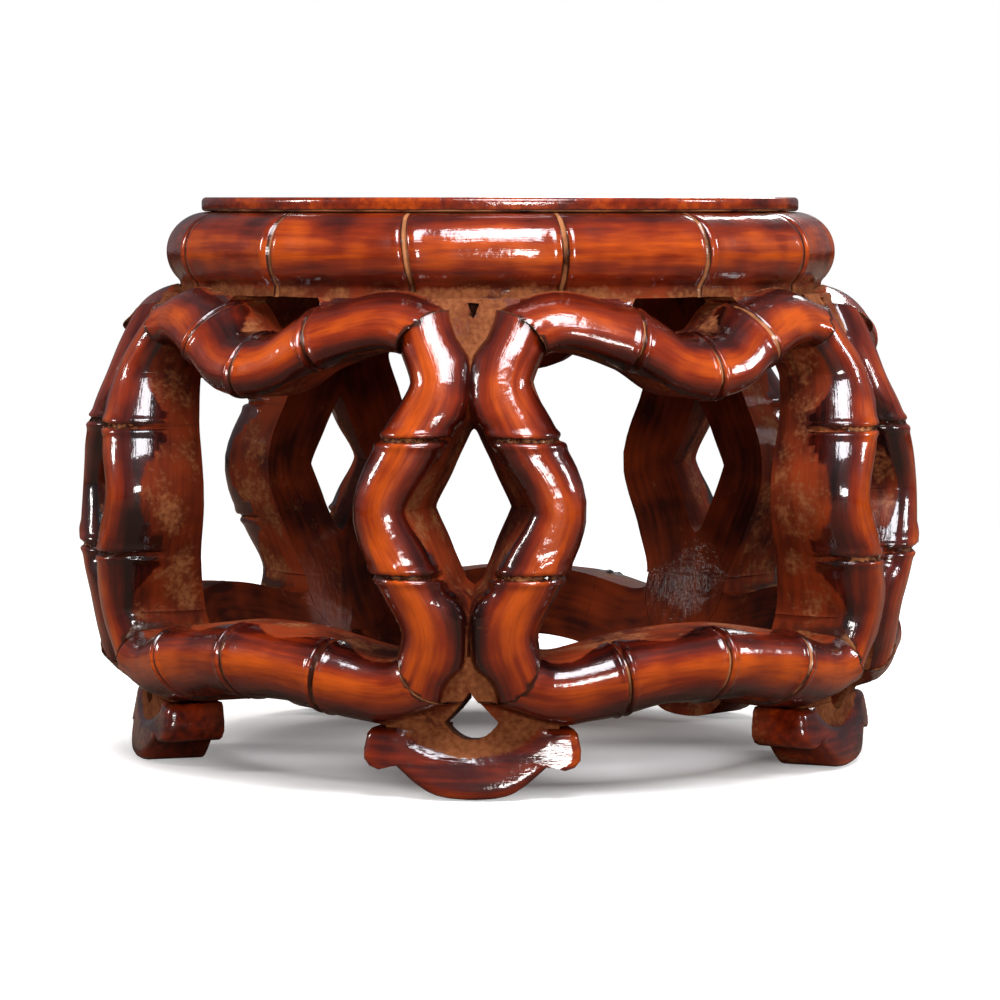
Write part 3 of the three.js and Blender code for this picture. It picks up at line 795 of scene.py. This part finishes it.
def turned(name, r, z, around):
    angle = np.linspace(0, 2 * math.pi, around, endpoint=False)
    r, z = np.asarray(r, float)[:, None], np.asarray(z, float)[:, None]
    table = np.stack([r * np.sin(angle), -r * np.cos(angle), z + 0 * angle], -1)
    return shaped_tube(name, table)


def rim_cutter():
    r, z = rim_profile(RIM_RADIUS + 0.3, 0.3)
    z = np.maximum(z, FRAME_TOP + SEAT_LAP / 2)
    return turned("rim_cutter", [0.5, *r, 0.5], [FRAME_TOP + SEAT_LAP / 2, *z, RIM_TOP + 1], 120)


def drop_cutter():
    """The drop-shaped hole over a foot, right through the wall, sloping down inwards."""
    floor_x = np.linspace(-DROP_HALF, DROP_HALF, 15)
    floor_z = DROP_CORNER - DROP_SAG * (1 - (floor_x / DROP_HALF) ** 2)
    climb = np.linspace(0, 1, 9)[1:]
    slope_x = DROP_HALF * (1 - climb) ** 1.15
    slope_z = DROP_CORNER + (DROP_TOP - DROP_CORNER) * climb
    side = np.concatenate([floor_x, slope_x, -slope_x[-2::-1]])
    height = np.concatenate([floor_z, slope_z, slope_z[-2::-1]])
    rows = [
        np.stack([side, np.full(len(side), -y), height + DROP_SLOPE * (y - FOOT_FRONT)], 1)
        for y in (40.0, 50.0, 60.0, 70.0)
    ]
    return shaped_tube("drop_cutter", np.array(rows))


class StandSettings(bpy.types.PropertyGroup):
    # The dark stain is also the painted shade at the canes' edges and in their hollows
    dark: bpy.props.StringProperty(name="Dark stain", description="Lacquered hollows", default="#180302")
    middle: bpy.props.StringProperty(name="Stain", description="Main lacquer colour", default="#480f05")
    bright: bpy.props.StringProperty(name="Bright stain", description="Lit crests", default="#7e2403")
    # The glow is mostly a painted highlight along the crests
    glow: bpy.props.StringProperty(name="Glow", description="Thin lacquer on crests", default="#bd4c02")
    wall_dark: bpy.props.StringProperty(name="Dull stain", description="Dark walls", default="#3a1006")
    wall: bpy.props.StringProperty(name="Dull wall", description="Paler walls", default="#822f0e")
    dust_dark: bpy.props.StringProperty(name="Thin dust", description="Dust on walls", default="#5f2d15")
    dust: bpy.props.StringProperty(name="Dust", description="Dust on facets", default="#8a5230")
    grime: bpy.props.StringProperty(name="Grime", description="Dirt in grooves", default="#38160a")
    wax: bpy.props.StringProperty(name="Wax", description="Wax left in grooves", default="#b3754a")
    groove_depth: bpy.props.FloatProperty(
        name="Groove depth",
        description="Depth of a node's groove",
        default=0.0006,
        min=0,
        max=0.002,
        unit="LENGTH",
    )
    carving: bpy.props.FloatProperty(
        name="Carving",
        description="Unevenness left by the carver",
        default=0.00022,
        min=0,
        max=0.001,
        unit="LENGTH",
    )


def stand():
    return bpy.context.scene.bamboo_stand


class STAND_OT_top_board(bpy.types.Operator):
    """Turns the top board, with its raised lip and the seat inside it"""

    bl_idname = "stand.top_board"
    bl_label = "Top board"

    def execute(self, context):
        seat = LIP_TOP - 1.2
        edge = np.linspace(0, math.pi / 2, 7)
        lip_r = LIP_RADIUS - 0.7 + 0.7 * np.cos(edge)
        lip_z = LIP_TOP - 0.7 + 0.7 * np.sin(edge)
        inner = LIP_RADIUS - 3.6
        r = [0.4, 20, PLUG_RADIUS, PLUG_RADIUS, PLUG_RADIUS, LIP_RADIUS - 0.45, LIP_RADIUS - 0.1, LIP_RADIUS]
        z = [75.4, 75.4, 75.4, 78.0, RIM_TOP, RIM_TOP, RIM_TOP + 0.2, RIM_TOP + 0.5]
        r += [*lip_r, inner + 0.5, inner + 0.1, inner - 0.4, inner - 1.2, 30, 18, 8, 0.4]
        z += [*lip_z, LIP_TOP, LIP_TOP - 0.2, seat + 0.3, seat, seat, seat, seat, seat]
        board = turned("lipped_top_board", r, z, 256)
        co = coords(board) / MM
        out = np.hypot(co[:, 0], co[:, 1])
        wax = (out > PLUG_RADIUS) * (1 - smooth(RIM_TOP + 0.35, RIM_TOP + 0.6, co[:, 2]))
        corner = np.exp(-(((out - inner + 0.4) / 0.5) ** 2)) * (np.abs(co[:, 2] - seat) < 0.55)
        store(board, "sawn", (co[:, 2] < RIM_TOP - 0.2).astype(float))
        store(board, "dust", 0.4 * (co[:, 2] < RIM_TOP - 0.2))
        store(board, "wax", np.maximum(wax, 0.7 * corner))
        # The crest mark makes the lip and outer edge lighter than the seat inside the lip
        store(board, "crest_painted_light", np.where(out > inner, 0.75, 0.45))
        store(board, "grain", np.stack([co[:, 1], co[:, 0], co[:, 2]], 1))
        finish_piece(board, wood(stand()), "top_board", 30)
        return {"FINISHED"}


class STAND_OT_rim(bpy.types.Operator):
    """Shapes the rim as a ring of bamboo with carved nodes"""

    bl_idname = "stand.rim"
    bl_label = "Rim"

    def execute(self, context):
        settings = stand()
        rng = np.random.default_rng(7)
        pitch = 2 * math.pi / RIM_NODES
        near = np.linspace(-2.2, 2.2, 25) / RIM_RADIUS
        far = np.linspace(2.2 / RIM_RADIUS, pitch - 2.2 / RIM_RADIUS, 14)[1:-1]
        turns = np.concatenate([near, far])
        section_r, section_z = rim_profile(RIM_RADIUS, 0.0, 37)
        section_r = np.where(section_z < FILLET_TOP, np.maximum(section_r, FILLET_RADIUS), section_r)
        inside = RIM_RADIUS - RIM_WIDTH
        extra_r = [PLUG_RADIUS + 0.2, PLUG_RADIUS + 0.2, inside, inside, 41.0]
        extra_z = [RIM_TOP, RIM_TOP - 6, RIM_TOP - 6, FRAME_TOP, FRAME_TOP]
        count = len(section_r)
        rise_share = np.concatenate([np.sin(np.linspace(0, math.pi, count)) ** 0.35, np.zeros(5)])
        r_all = np.concatenate([section_r, extra_r])
        z_all = np.concatenate([section_z, extra_z])
        middle_z = (FRAME_TOP + RIM_TOP) / 2
        lean = np.clip((z_all - middle_z) / 6.0, -1, 1)
        rows, aways = [], []
        for k in range(RIM_NODES):
            tilt, bow = rng.normal(0, 0.35), rng.normal(0.45, 0.2)
            for turn in turns:
                blend_in = max(0.0, 1 - abs(turn) * RIM_RADIUS / 9.0)
                shift = (tilt * lean + bow * (1 - lean**2)) * blend_in / RIM_RADIUS
                angle = RIM_NODE_TURN + (k + 0.5) * pitch + turn + shift
                away = turn * RIM_RADIUS
                rise = node_rise(np.full(len(r_all), away * 0.6), settings) * rise_share
                waist = -0.25 * (1 - np.cos(2 * math.pi * turn / pitch)) / 2 * rise_share
                r = r_all + rise + waist
                rows.append(np.stack([r * np.sin(angle), -r * np.cos(angle), z_all], 1))
                aways.append(np.full(len(r_all), min(abs(away), abs(away - pitch * RIM_RADIUS))))
        table = np.array(rows)
        rim, ring, place = rolled_grid("node_ringed_rim", table)
        away = np.array(aways)[ring, place]
        share = rise_share[place]
        z = z_all[place]
        dust = 0.75 * (1 - smooth(FRAME_TOP + 0.6, FRAME_TOP + 2.8, z))
        store(rim, "sawn", np.maximum(dust, share < 0.05))
        store(rim, "dust", np.maximum(dust * 1.1, 0.5 * (share < 0.05)))
        store(rim, "wax", (1 - smooth(0.26, 0.56, away)) * (share > 0.05))
        # Painted highlight: a band round the ring's middle, a little above it, over painted shade at its top
        # and bottom
        store(rim, "crest_painted_light", 0.3 + 0.7 * np.exp(-(((z - middle_z - 1) / 3.6) ** 2)))
        angle = np.arctan2(table[..., 0], -table[..., 1])[ring, place]
        store(rim, "grain", np.stack([angle * RIM_RADIUS, z, 0 * z], 1))
        face_out(rim)
        hand_carve(rim, settings.carving / MM * 0.6, 9)
        finish_piece(rim, wood(settings), "rim_ring", 40)
        return {"FINISHED"}


class STAND_OT_legs(bpy.types.Operator):
    """Models one leg of two bowed canes with webs between them, and copies it round the stand"""

    bl_idname = "stand.legs"
    bl_label = "Legs"

    def execute(self, context):
        settings = stand()
        crowns = (EYE_CROWN, CANE_CROWN)
        bud_at = LEG_LINE.nodes[0] + 1.4
        cane = cane_tube(
            "leg_cane", LEG_LINE, CANE_HALF, crowns, EYE_FLARE, settings, is_leg=True, buds=[(bud_at, 1.6, 1)]
        )
        twin = copy_of(cane, "leg_cane_twin")
        move_mesh(twin, MIRROR)
        leg = combine(cane, twin, "UNION")
        for toe, is_top in ((TOP_TOE, True), (BOTTOM_TOE, False)):
            leg = combine_twice(leg, beyond_toe(toe, is_top), "DIFFERENCE", MIRROR)
        neck_top = KNEE_Z + KNEE_SPAN
        top_out = TOP_MITRE[0]
        seat = FRAME_TOP + SEAT_LAP
        top = [(-3, neck_top + 1), (-top_out, seat), (top_out, seat), (3, neck_top + 1)]
        low = [(-4.6, 13.8), (-5.6, 19.5), (0, 20.5), (5.6, 19.5), (4.6, 13.8)]
        leg = combine(leg, wall_block("top_facet", top, TOP_WEB_SETBACK), "UNION")
        leg = combine(leg, wall_block("low_facet", low, BOTTOM_WEB_SETBACK), "UNION")
        notch = [(-0.9, FRAME_TOP - 0.4), (0.1, FRAME_TOP - 2.6), (1.0, FRAME_TOP - 0.5)]
        leg = combine(leg, prism("notch", notch, low=outer_radius(FRAME_TOP) - 5.0), "DIFFERENCE")
        leg = combine(leg, drop_cutter(), "DIFFERENCE")
        leg = combine(leg, rim_cutter(), "DIFFERENCE")
        mark_cane(leg, LEG_LINE, CANE_HALF, crowns, ((TOP_TOE, True), (BOTTOM_TOE, False)), True, 0.9)
        names = [f"leg_{k + 1}" for k in range(LEGS)]
        spread(leg, "double_cane_leg", names, wood(settings), settings.carving / MM)
        return {"FINISHED"}


def collar(rail, toe, is_top):
    """Raises a rounded collar on a rail, round the end of the leg's cane."""
    co = coords(rail) / MM
    turn, r, z = barrel_places(co)
    local = np.where(turn > PANEL_HALF, 2 * PANEL_HALF - turn, turn)
    lift = 0.4 * np.exp(-(((toe_distance(local, z, toe, is_top) - 0.8) / 0.6) ** 2))
    lift = lift * smooth(7.5, 5.0, outer_radius(z) - r)
    co[:, :2] *= (1 + lift / r)[:, None]
    set_coords(rail, co * MM)


def finish_rail(rail, toe, is_top):
    """Adds the collars and ends the rail on the toes of both legs."""
    collar(rail, toe, is_top)
    return combine_twice(rail, inside_toe(toe, is_top), "DIFFERENCE", TO_NEXT)


class STAND_OT_top_rails(bpy.types.Operator):
    """Models a wavy top rail with the shoulders that carry the rim, and copies it round the stand"""

    bl_idname = "stand.top_rails"
    bl_label = "Top rails"

    def execute(self, context):
        settings = stand()
        crowns = (TOP_RAIL_CROWN, TOP_RAIL_CROWN)
        buds = [(5.6, 1.4, 1), (TOP_LINE.length - 5.6, 1.4, -1)]
        rail = cane_tube("top_rail", TOP_LINE, TOP_RAIL_HALF, crowns, 0.0, settings, buds=buds)
        low, seat = FRAME_TOP - SHOULDER_DEPTH, FRAME_TOP + SEAT_LAP
        outline = [
            (TOP_MITRE[0] - 3, seat),
            (TOP_MITRE[0], low),
            (SHOULDER_END - 4, low),
            (SHOULDER_END - 1, FRAME_TOP - 2),
            (SHOULDER_END + 1, seat),
        ]
        shoulder = wall_block("shoulder", outline, SHOULDER_SETBACK, 0.6)
        rail = combine_twice(rail, shoulder, "UNION", TO_NEXT)
        rail = finish_rail(rail, TOP_TOE, True)
        rail = combine(rail, rim_cutter(), "DIFFERENCE")
        mark_cane(rail, TOP_LINE, TOP_RAIL_HALF, crowns, ((TOP_TOE, True),), False, 1.0)
        names = [f"top_rail_{k + 1}" for k in range(LEGS)]
        spread(rail, "wavy_top_rail", names, wood(settings), settings.carving / MM)
        return {"FINISHED"}


def tuck_under(rail):
    """Sets the rail's lower edge back over the foot, level with the foot's hollow."""
    co = coords(rail) / MM
    turn, r, z = barrel_places(co)
    local = np.where(turn > PANEL_HALF, 2 * PANEL_HALF - turn, turn)
    edge = FOOT_TOP + 0.4 + 0.3 * np.clip(15.0 - local, 0, 11)
    hollow = FOOT_FRONT - HOLLOW_DEPTH + 0.25 * (z - FOOT_TOP)
    share = smooth(-0.6, 0.6, edge - z) * (local < 16)
    co[:, :2] *= (1 + share * (np.minimum(hollow / r, 1) - 1))[:, None]
    set_coords(rail, co * MM)
    return share


class STAND_OT_bottom_rails(bpy.types.Operator):
    """Models an arched bottom rail and copies it round the stand"""

    bl_idname = "stand.bottom_rails"
    bl_label = "Bottom rails"

    def execute(self, context):
        settings = stand()
        crowns = (BOTTOM_RAIL_CROWN, BOTTOM_RAIL_CROWN)
        rail = cane_tube("bottom_rail", BOTTOM_LINE, BOTTOM_RAIL_HALF, crowns, 0.0, settings)
        heel_top = FOOT_TOP + HEEL_RISE
        low = FOOT_TOP - 1
        outline = [(0, low), (0, heel_top), (SAG_OUT, heel_top), (SAG_OUT, low)]
        heel = wall_block("heel", outline, HEEL_SETBACK, inset=0.15)
        rail = combine_twice(rail, heel, "UNION", TO_NEXT)
        rail = combine_twice(rail, drop_cutter(), "DIFFERENCE", TO_NEXT)
        rail = finish_rail(rail, BOTTOM_TOE, False)
        below = turned("below", [0.5, 80, 80, 80, 0.5], [0, 0, 5, FOOT_TOP, FOOT_TOP], 90)
        rail = combine(rail, below, "DIFFERENCE")
        cove = tuck_under(rail)
        mark_cane(rail, BOTTOM_LINE, BOTTOM_RAIL_HALF, crowns, ((BOTTOM_TOE, False),), False, 1.0)
        turn, r, z = barrel_places(coords(rail) / MM)
        cove = cove * smooth(6.5, 5.5, outer_radius(z) - r)
        raise_mark(rail, "dust", cove)
        raise_mark(rail, "sawn", cove)
        names = [f"bottom_rail_{k + 1}" for k in range(LEGS)]
        spread(rail, "arched_bottom_rail", names, wood(settings), settings.carving / MM)
        return {"FINISHED"}


def foot_outline():
    """A cloud's lower edge: a bowed belly and an ear at each side."""
    x = np.linspace(0, NOTCH_OUT, 12)
    turned_up = SOLE_FLARE / 2 * (np.hypot(x - SOLE_HALF, SOLE_ROUND) + x - SOLE_HALF)
    belly = list(zip(x, turned_up - turned_up[0]))
    ear = [(12.2, 4.25), (13.6, 3.95), (15.0, 4.45), (15.9, 5.5), (16.0, 7.0), (15.7, 8.5), (15.5, 9.8)]
    top = FOOT_TOP + SEAT_LAP
    half = np.array(belly + ear + [(12.0, top), (9.0, top), (4.0, top), (0, top)], float)
    fine = []
    for a, b in zip(half[:-1], half[1:]):
        steps = max(2, int(np.hypot(*(b - a)) / 0.5))
        fine += [a + (b - a) * t for t in np.linspace(0, 1, steps, endpoint=False)]
    fine.append(half[-1])
    fine = np.array(fine)
    left = fine[1:-1][::-1] * [-1, 1]
    return np.concatenate([fine, left])


def foot_hollow(x, z):
    """Under 0.9 inside the hollow that a foot's crescent runs round."""
    return (np.abs(x / 12.2) ** 1.8 + np.abs((z - 10.4) / 5.2) ** 1.8) ** (1 / 1.8)


class STAND_OT_feet(bpy.types.Operator):
    """Carves a cloud-shaped foot with a glossy crescent, and copies it round the stand"""

    bl_idname = "stand.feet"
    bl_label = "Feet"

    def execute(self, context):
        settings = stand()
        outline = foot_outline()
        middle = np.array([0, 5.6])
        under_rail = (outline[:, 1] > FOOT_TOP) & (np.abs(outline[:, 0]) < NOTCH_OUT)
        rows = []
        insets = [(4.9, 0, 0), (2.5, 0, 0), (0, 0, 0), (0, 1, -1.7), (0.14, 1, -1.0), (0.42, 1, -0.5)]
        insets += [(0.85, 1, -0.18), (1.4, 1, -0.03)] + [(i, 1, 0) for i in np.linspace(1.8, 4.9, 10)]
        for inset, is_front, back in insets:
            scale = np.array([1 - inset / FOOT_HALF, 1 - inset / 5.2])
            flat = middle + (outline - middle) * scale
            r = FOOT_FRONT + back * ~under_rail if is_front else np.full(len(flat), FOOT_FRONT - FOOT_DEPTH)
            if is_front:
                # The crescent leans back from its lower edge to the hollow, and looks up a little
                edge = foot_hollow(flat[:, 0], flat[:, 1])
                r = r - 0.9 * (1 - smooth(0.66, 1.02, edge))
                r = r - (HOLLOW_DEPTH - 0.9) * np.clip((1.9 - edge) / 1.0, 0, 1) ** 1.4
            reach = BELLY_RADIUS / FOOT_FRONT
            rows.append(on_barrel(flat[:, 0] * reach, r, flat[:, 1]))
        foot = shaped_tube("foot", np.array(rows))
        foot = combine(foot, drop_cutter(), "DIFFERENCE")
        co = coords(foot) / MM
        turn, r, z = barrel_places(co)
        x = turn / BELLY_RADIUS * FOOT_FRONT
        edge = foot_hollow(x, z)
        back = smooth(3.6, 4.6, FOOT_FRONT - r)
        hollow = (1 - smooth(0.74, 0.96, edge)) * (FOOT_FRONT - r < 3.6)
        store(foot, "sawn", np.maximum(0.8 * back, hollow))
        store(foot, "dust", np.maximum(0.45 * back, hollow))
        store(foot, "wax", 0 * x)
        # Painted light: the crescent darker round its hollow, and a painted highlight on its lower bevel and
        # on the ears
        store(foot, "crest_painted_light", 0.35 + 0.5 * smooth(1.6, 2.0, edge) + 0.3 * smooth(12, 15, np.abs(x)))
        store(foot, "grain", np.stack([x, z, r], 1))
        names = [f"foot_{k + 1}" for k in range(LEGS)]
        spread(foot, "cloud_foot", names, wood(settings), settings.carving / MM * 0.8)
        return {"FINISHED"}


class STAND_OT_dowels(bpy.types.Operator):
    """Gives the hidden dowels their wood"""

    bl_idname = "stand.dowels"
    bl_label = "Dowels"

    def execute(self, context):
        material = finish_named(turned_dowel_wood, "turned_dowel_wood", stand())
        for name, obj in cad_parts.items():
            if "dowel" in name:
                obj.data.materials.clear()
                obj.data.materials.append(material)
        return {"FINISHED"}


def soft_box(name, azimuth, elevation, reach, size, power, colour):
    """A soft lamp, at angles in degrees: azimuth from the front leg, elevation from level."""
    data = bpy.data.lights.new(name, "AREA")
    data.shape = "RECTANGLE"
    data.size, data.size_y = size
    data.energy = power
    data.color = colour
    lamp = bpy.data.objects.new(name, data)
    bpy.context.scene.collection.objects.link(lamp)
    around, up = math.radians(azimuth), math.radians(elevation)
    aim = Vector((0, 0, 0.045))
    heading = Vector((math.cos(up) * math.sin(around), -math.cos(up) * math.cos(around), math.sin(up)))
    lamp.location = aim + heading * reach
    lamp.rotation_euler = (-heading).to_track_quat("-Z", "Y").to_euler()


class STAND_OT_stage(bpy.types.Operator):
    """Sets the pale floor, the soft studio light and the camera at the photograph's angle"""

    bl_idname = "stand.stage"
    bl_label = "Stage"

    def execute(self, context):
        scene = context.scene
        bpy.ops.object.select_all(action="DESELECT")
        bpy.ops.mesh.primitive_plane_add(size=8, location=(0, 0, 0))
        floor = context.object
        floor.name = "floor"
        paper = bpy.data.materials.new("matt_white_paper")
        paper.use_nodes = True
        tree = paper.node_tree
        tree.nodes.clear()
        # Lit paper round the stand, which keeps its shadow, and plain white further off
        spot = add_node(tree, "ShaderNodeTexCoord").outputs["Object"]
        away = add_node(tree, "ShaderNodeVectorMath", {0: spot}, operation="LENGTH").outputs["Value"]
        far = add_node(tree, "ShaderNodeMapRange", {"Value": away, "From Min": 0.12, "From Max": 0.42})
        seen = add_node(tree, "ShaderNodeLightPath").outputs["Is Camera Ray"]
        tint = blend(tree, seen, linear("#6a5a50"), linear("#efedeb"))
        lit = add_node(tree, "ShaderNodeBsdfDiffuse", {"Color": tint})
        # The lift keeps the shadow pale, but not under the stand itself
        outside = add_node(tree, "ShaderNodeMapRange", {"Value": away, "From Min": 0.04, "From Max": 0.06})
        glow = maths(tree, "MULTIPLY", maths(tree, "MULTIPLY", seen, 0.6), outside.outputs[0])
        lift = add_node(tree, "ShaderNodeEmission", {"Color": grey(1), "Strength": glow})
        near = add_node(tree, "ShaderNodeAddShader", {0: lit.outputs[0], 1: lift.outputs[0]})
        white = add_node(tree, "ShaderNodeEmission", {"Color": grey(1), "Strength": 1.0})
        fade = maths(tree, "MULTIPLY", far.outputs[0], seen)
        paper_mix = add_node(tree, "ShaderNodeMixShader", {0: fade, 1: near.outputs[0], 2: white.outputs[0]})
        add_node(tree, "ShaderNodeOutputMaterial", {"Surface": paper_mix.outputs[0]})
        floor.data.materials.append(paper)
        world = bpy.data.worlds.new("studio")
        world.use_nodes = True
        tree = world.node_tree
        tree.nodes.clear()
        seen = add_node(tree, "ShaderNodeLightPath").outputs["Is Camera Ray"]
        near = add_node(tree, "ShaderNodeBackground", {"Color": linear("#e8e6f0"), "Strength": 0.14})
        white = add_node(tree, "ShaderNodeBackground", {"Color": grey(1), "Strength": 1.0})
        mixed = add_node(tree, "ShaderNodeMixShader", {0: seen, 1: near.outputs[0], 2: white.outputs[0]})
        add_node(tree, "ShaderNodeOutputWorld", {"Surface": mixed.outputs[0]})
        scene.world = world
        soft_box("flash", 12, 9, 0.8, (0.24, 0.12), 3.0, (1.0, 0.97, 0.94))
        soft_box("window", 14, 58, 0.8, (0.36, 0.44), 8.4, (0.95, 0.94, 1.0))
        soft_box("left_lamp", -80, 24, 0.8, (0.09, 0.2), 2.4, (1.0, 0.97, 0.95))
        soft_box("right_lamp", 88, 24, 0.8, (0.09, 0.2), 2.2, (0.97, 0.97, 1.0))
        soft_box("back_lamp", 172, 34, 0.8, (0.3, 0.3), 3.6, (1.0, 0.98, 0.96))
        turn = math.radians(4.2)
        reach, eye = 0.6, 0.0835
        data = bpy.data.cameras.new("photograph_view")
        data.sensor_width = 36
        data.lens = 36 * 3.966
        camera = bpy.data.objects.new("photograph_view", data)
        scene.collection.objects.link(camera)
        camera.location = (reach * math.sin(turn), -reach * math.cos(turn), eye)
        camera.rotation_euler = (Vector((0, 0, 0.0377)) - camera.location).to_track_quat("-Z", "Y").to_euler()
        scene.camera = camera
        scene.view_settings.view_transform = "Standard"
        return {"FINISHED"}


OPERATORS = (
    STAND_OT_stage,
    STAND_OT_top_board,
    STAND_OT_rim,
    STAND_OT_legs,
    STAND_OT_top_rails,
    STAND_OT_bottom_rails,
    STAND_OT_feet,
    STAND_OT_dowels,
)


class STAND_PT_panel(bpy.types.Panel):
    """Lists the stand's settings and pieces"""

    bl_label = "Bamboo stand"
    bl_idname = "STAND_PT_panel"
    bl_space_type = "VIEW_3D"
    bl_region_type = "UI"
    bl_category = "Stand"

    def draw(self, context):
        for name in StandSettings.__annotations__:
            self.layout.prop(context.scene.bamboo_stand, name)
        for operator in OPERATORS:
            self.layout.operator(operator.bl_idname)


CLASSES = (StandSettings, *OPERATORS, STAND_PT_panel)


def register():
    for cls in CLASSES:
        bpy.utils.register_class(cls)
    bpy.types.Scene.bamboo_stand = bpy.props.PointerProperty(type=StandSettings)


def unregister():
    del bpy.types.Scene.bamboo_stand
    for cls in reversed(CLASSES):
        bpy.utils.unregister_class(cls)


def main():
    register()
    for operator in OPERATORS:
        group, name = operator.bl_idname.split(".")
        getattr(getattr(bpy.ops, group), name)()


if __name__ == "__main__":
    main()
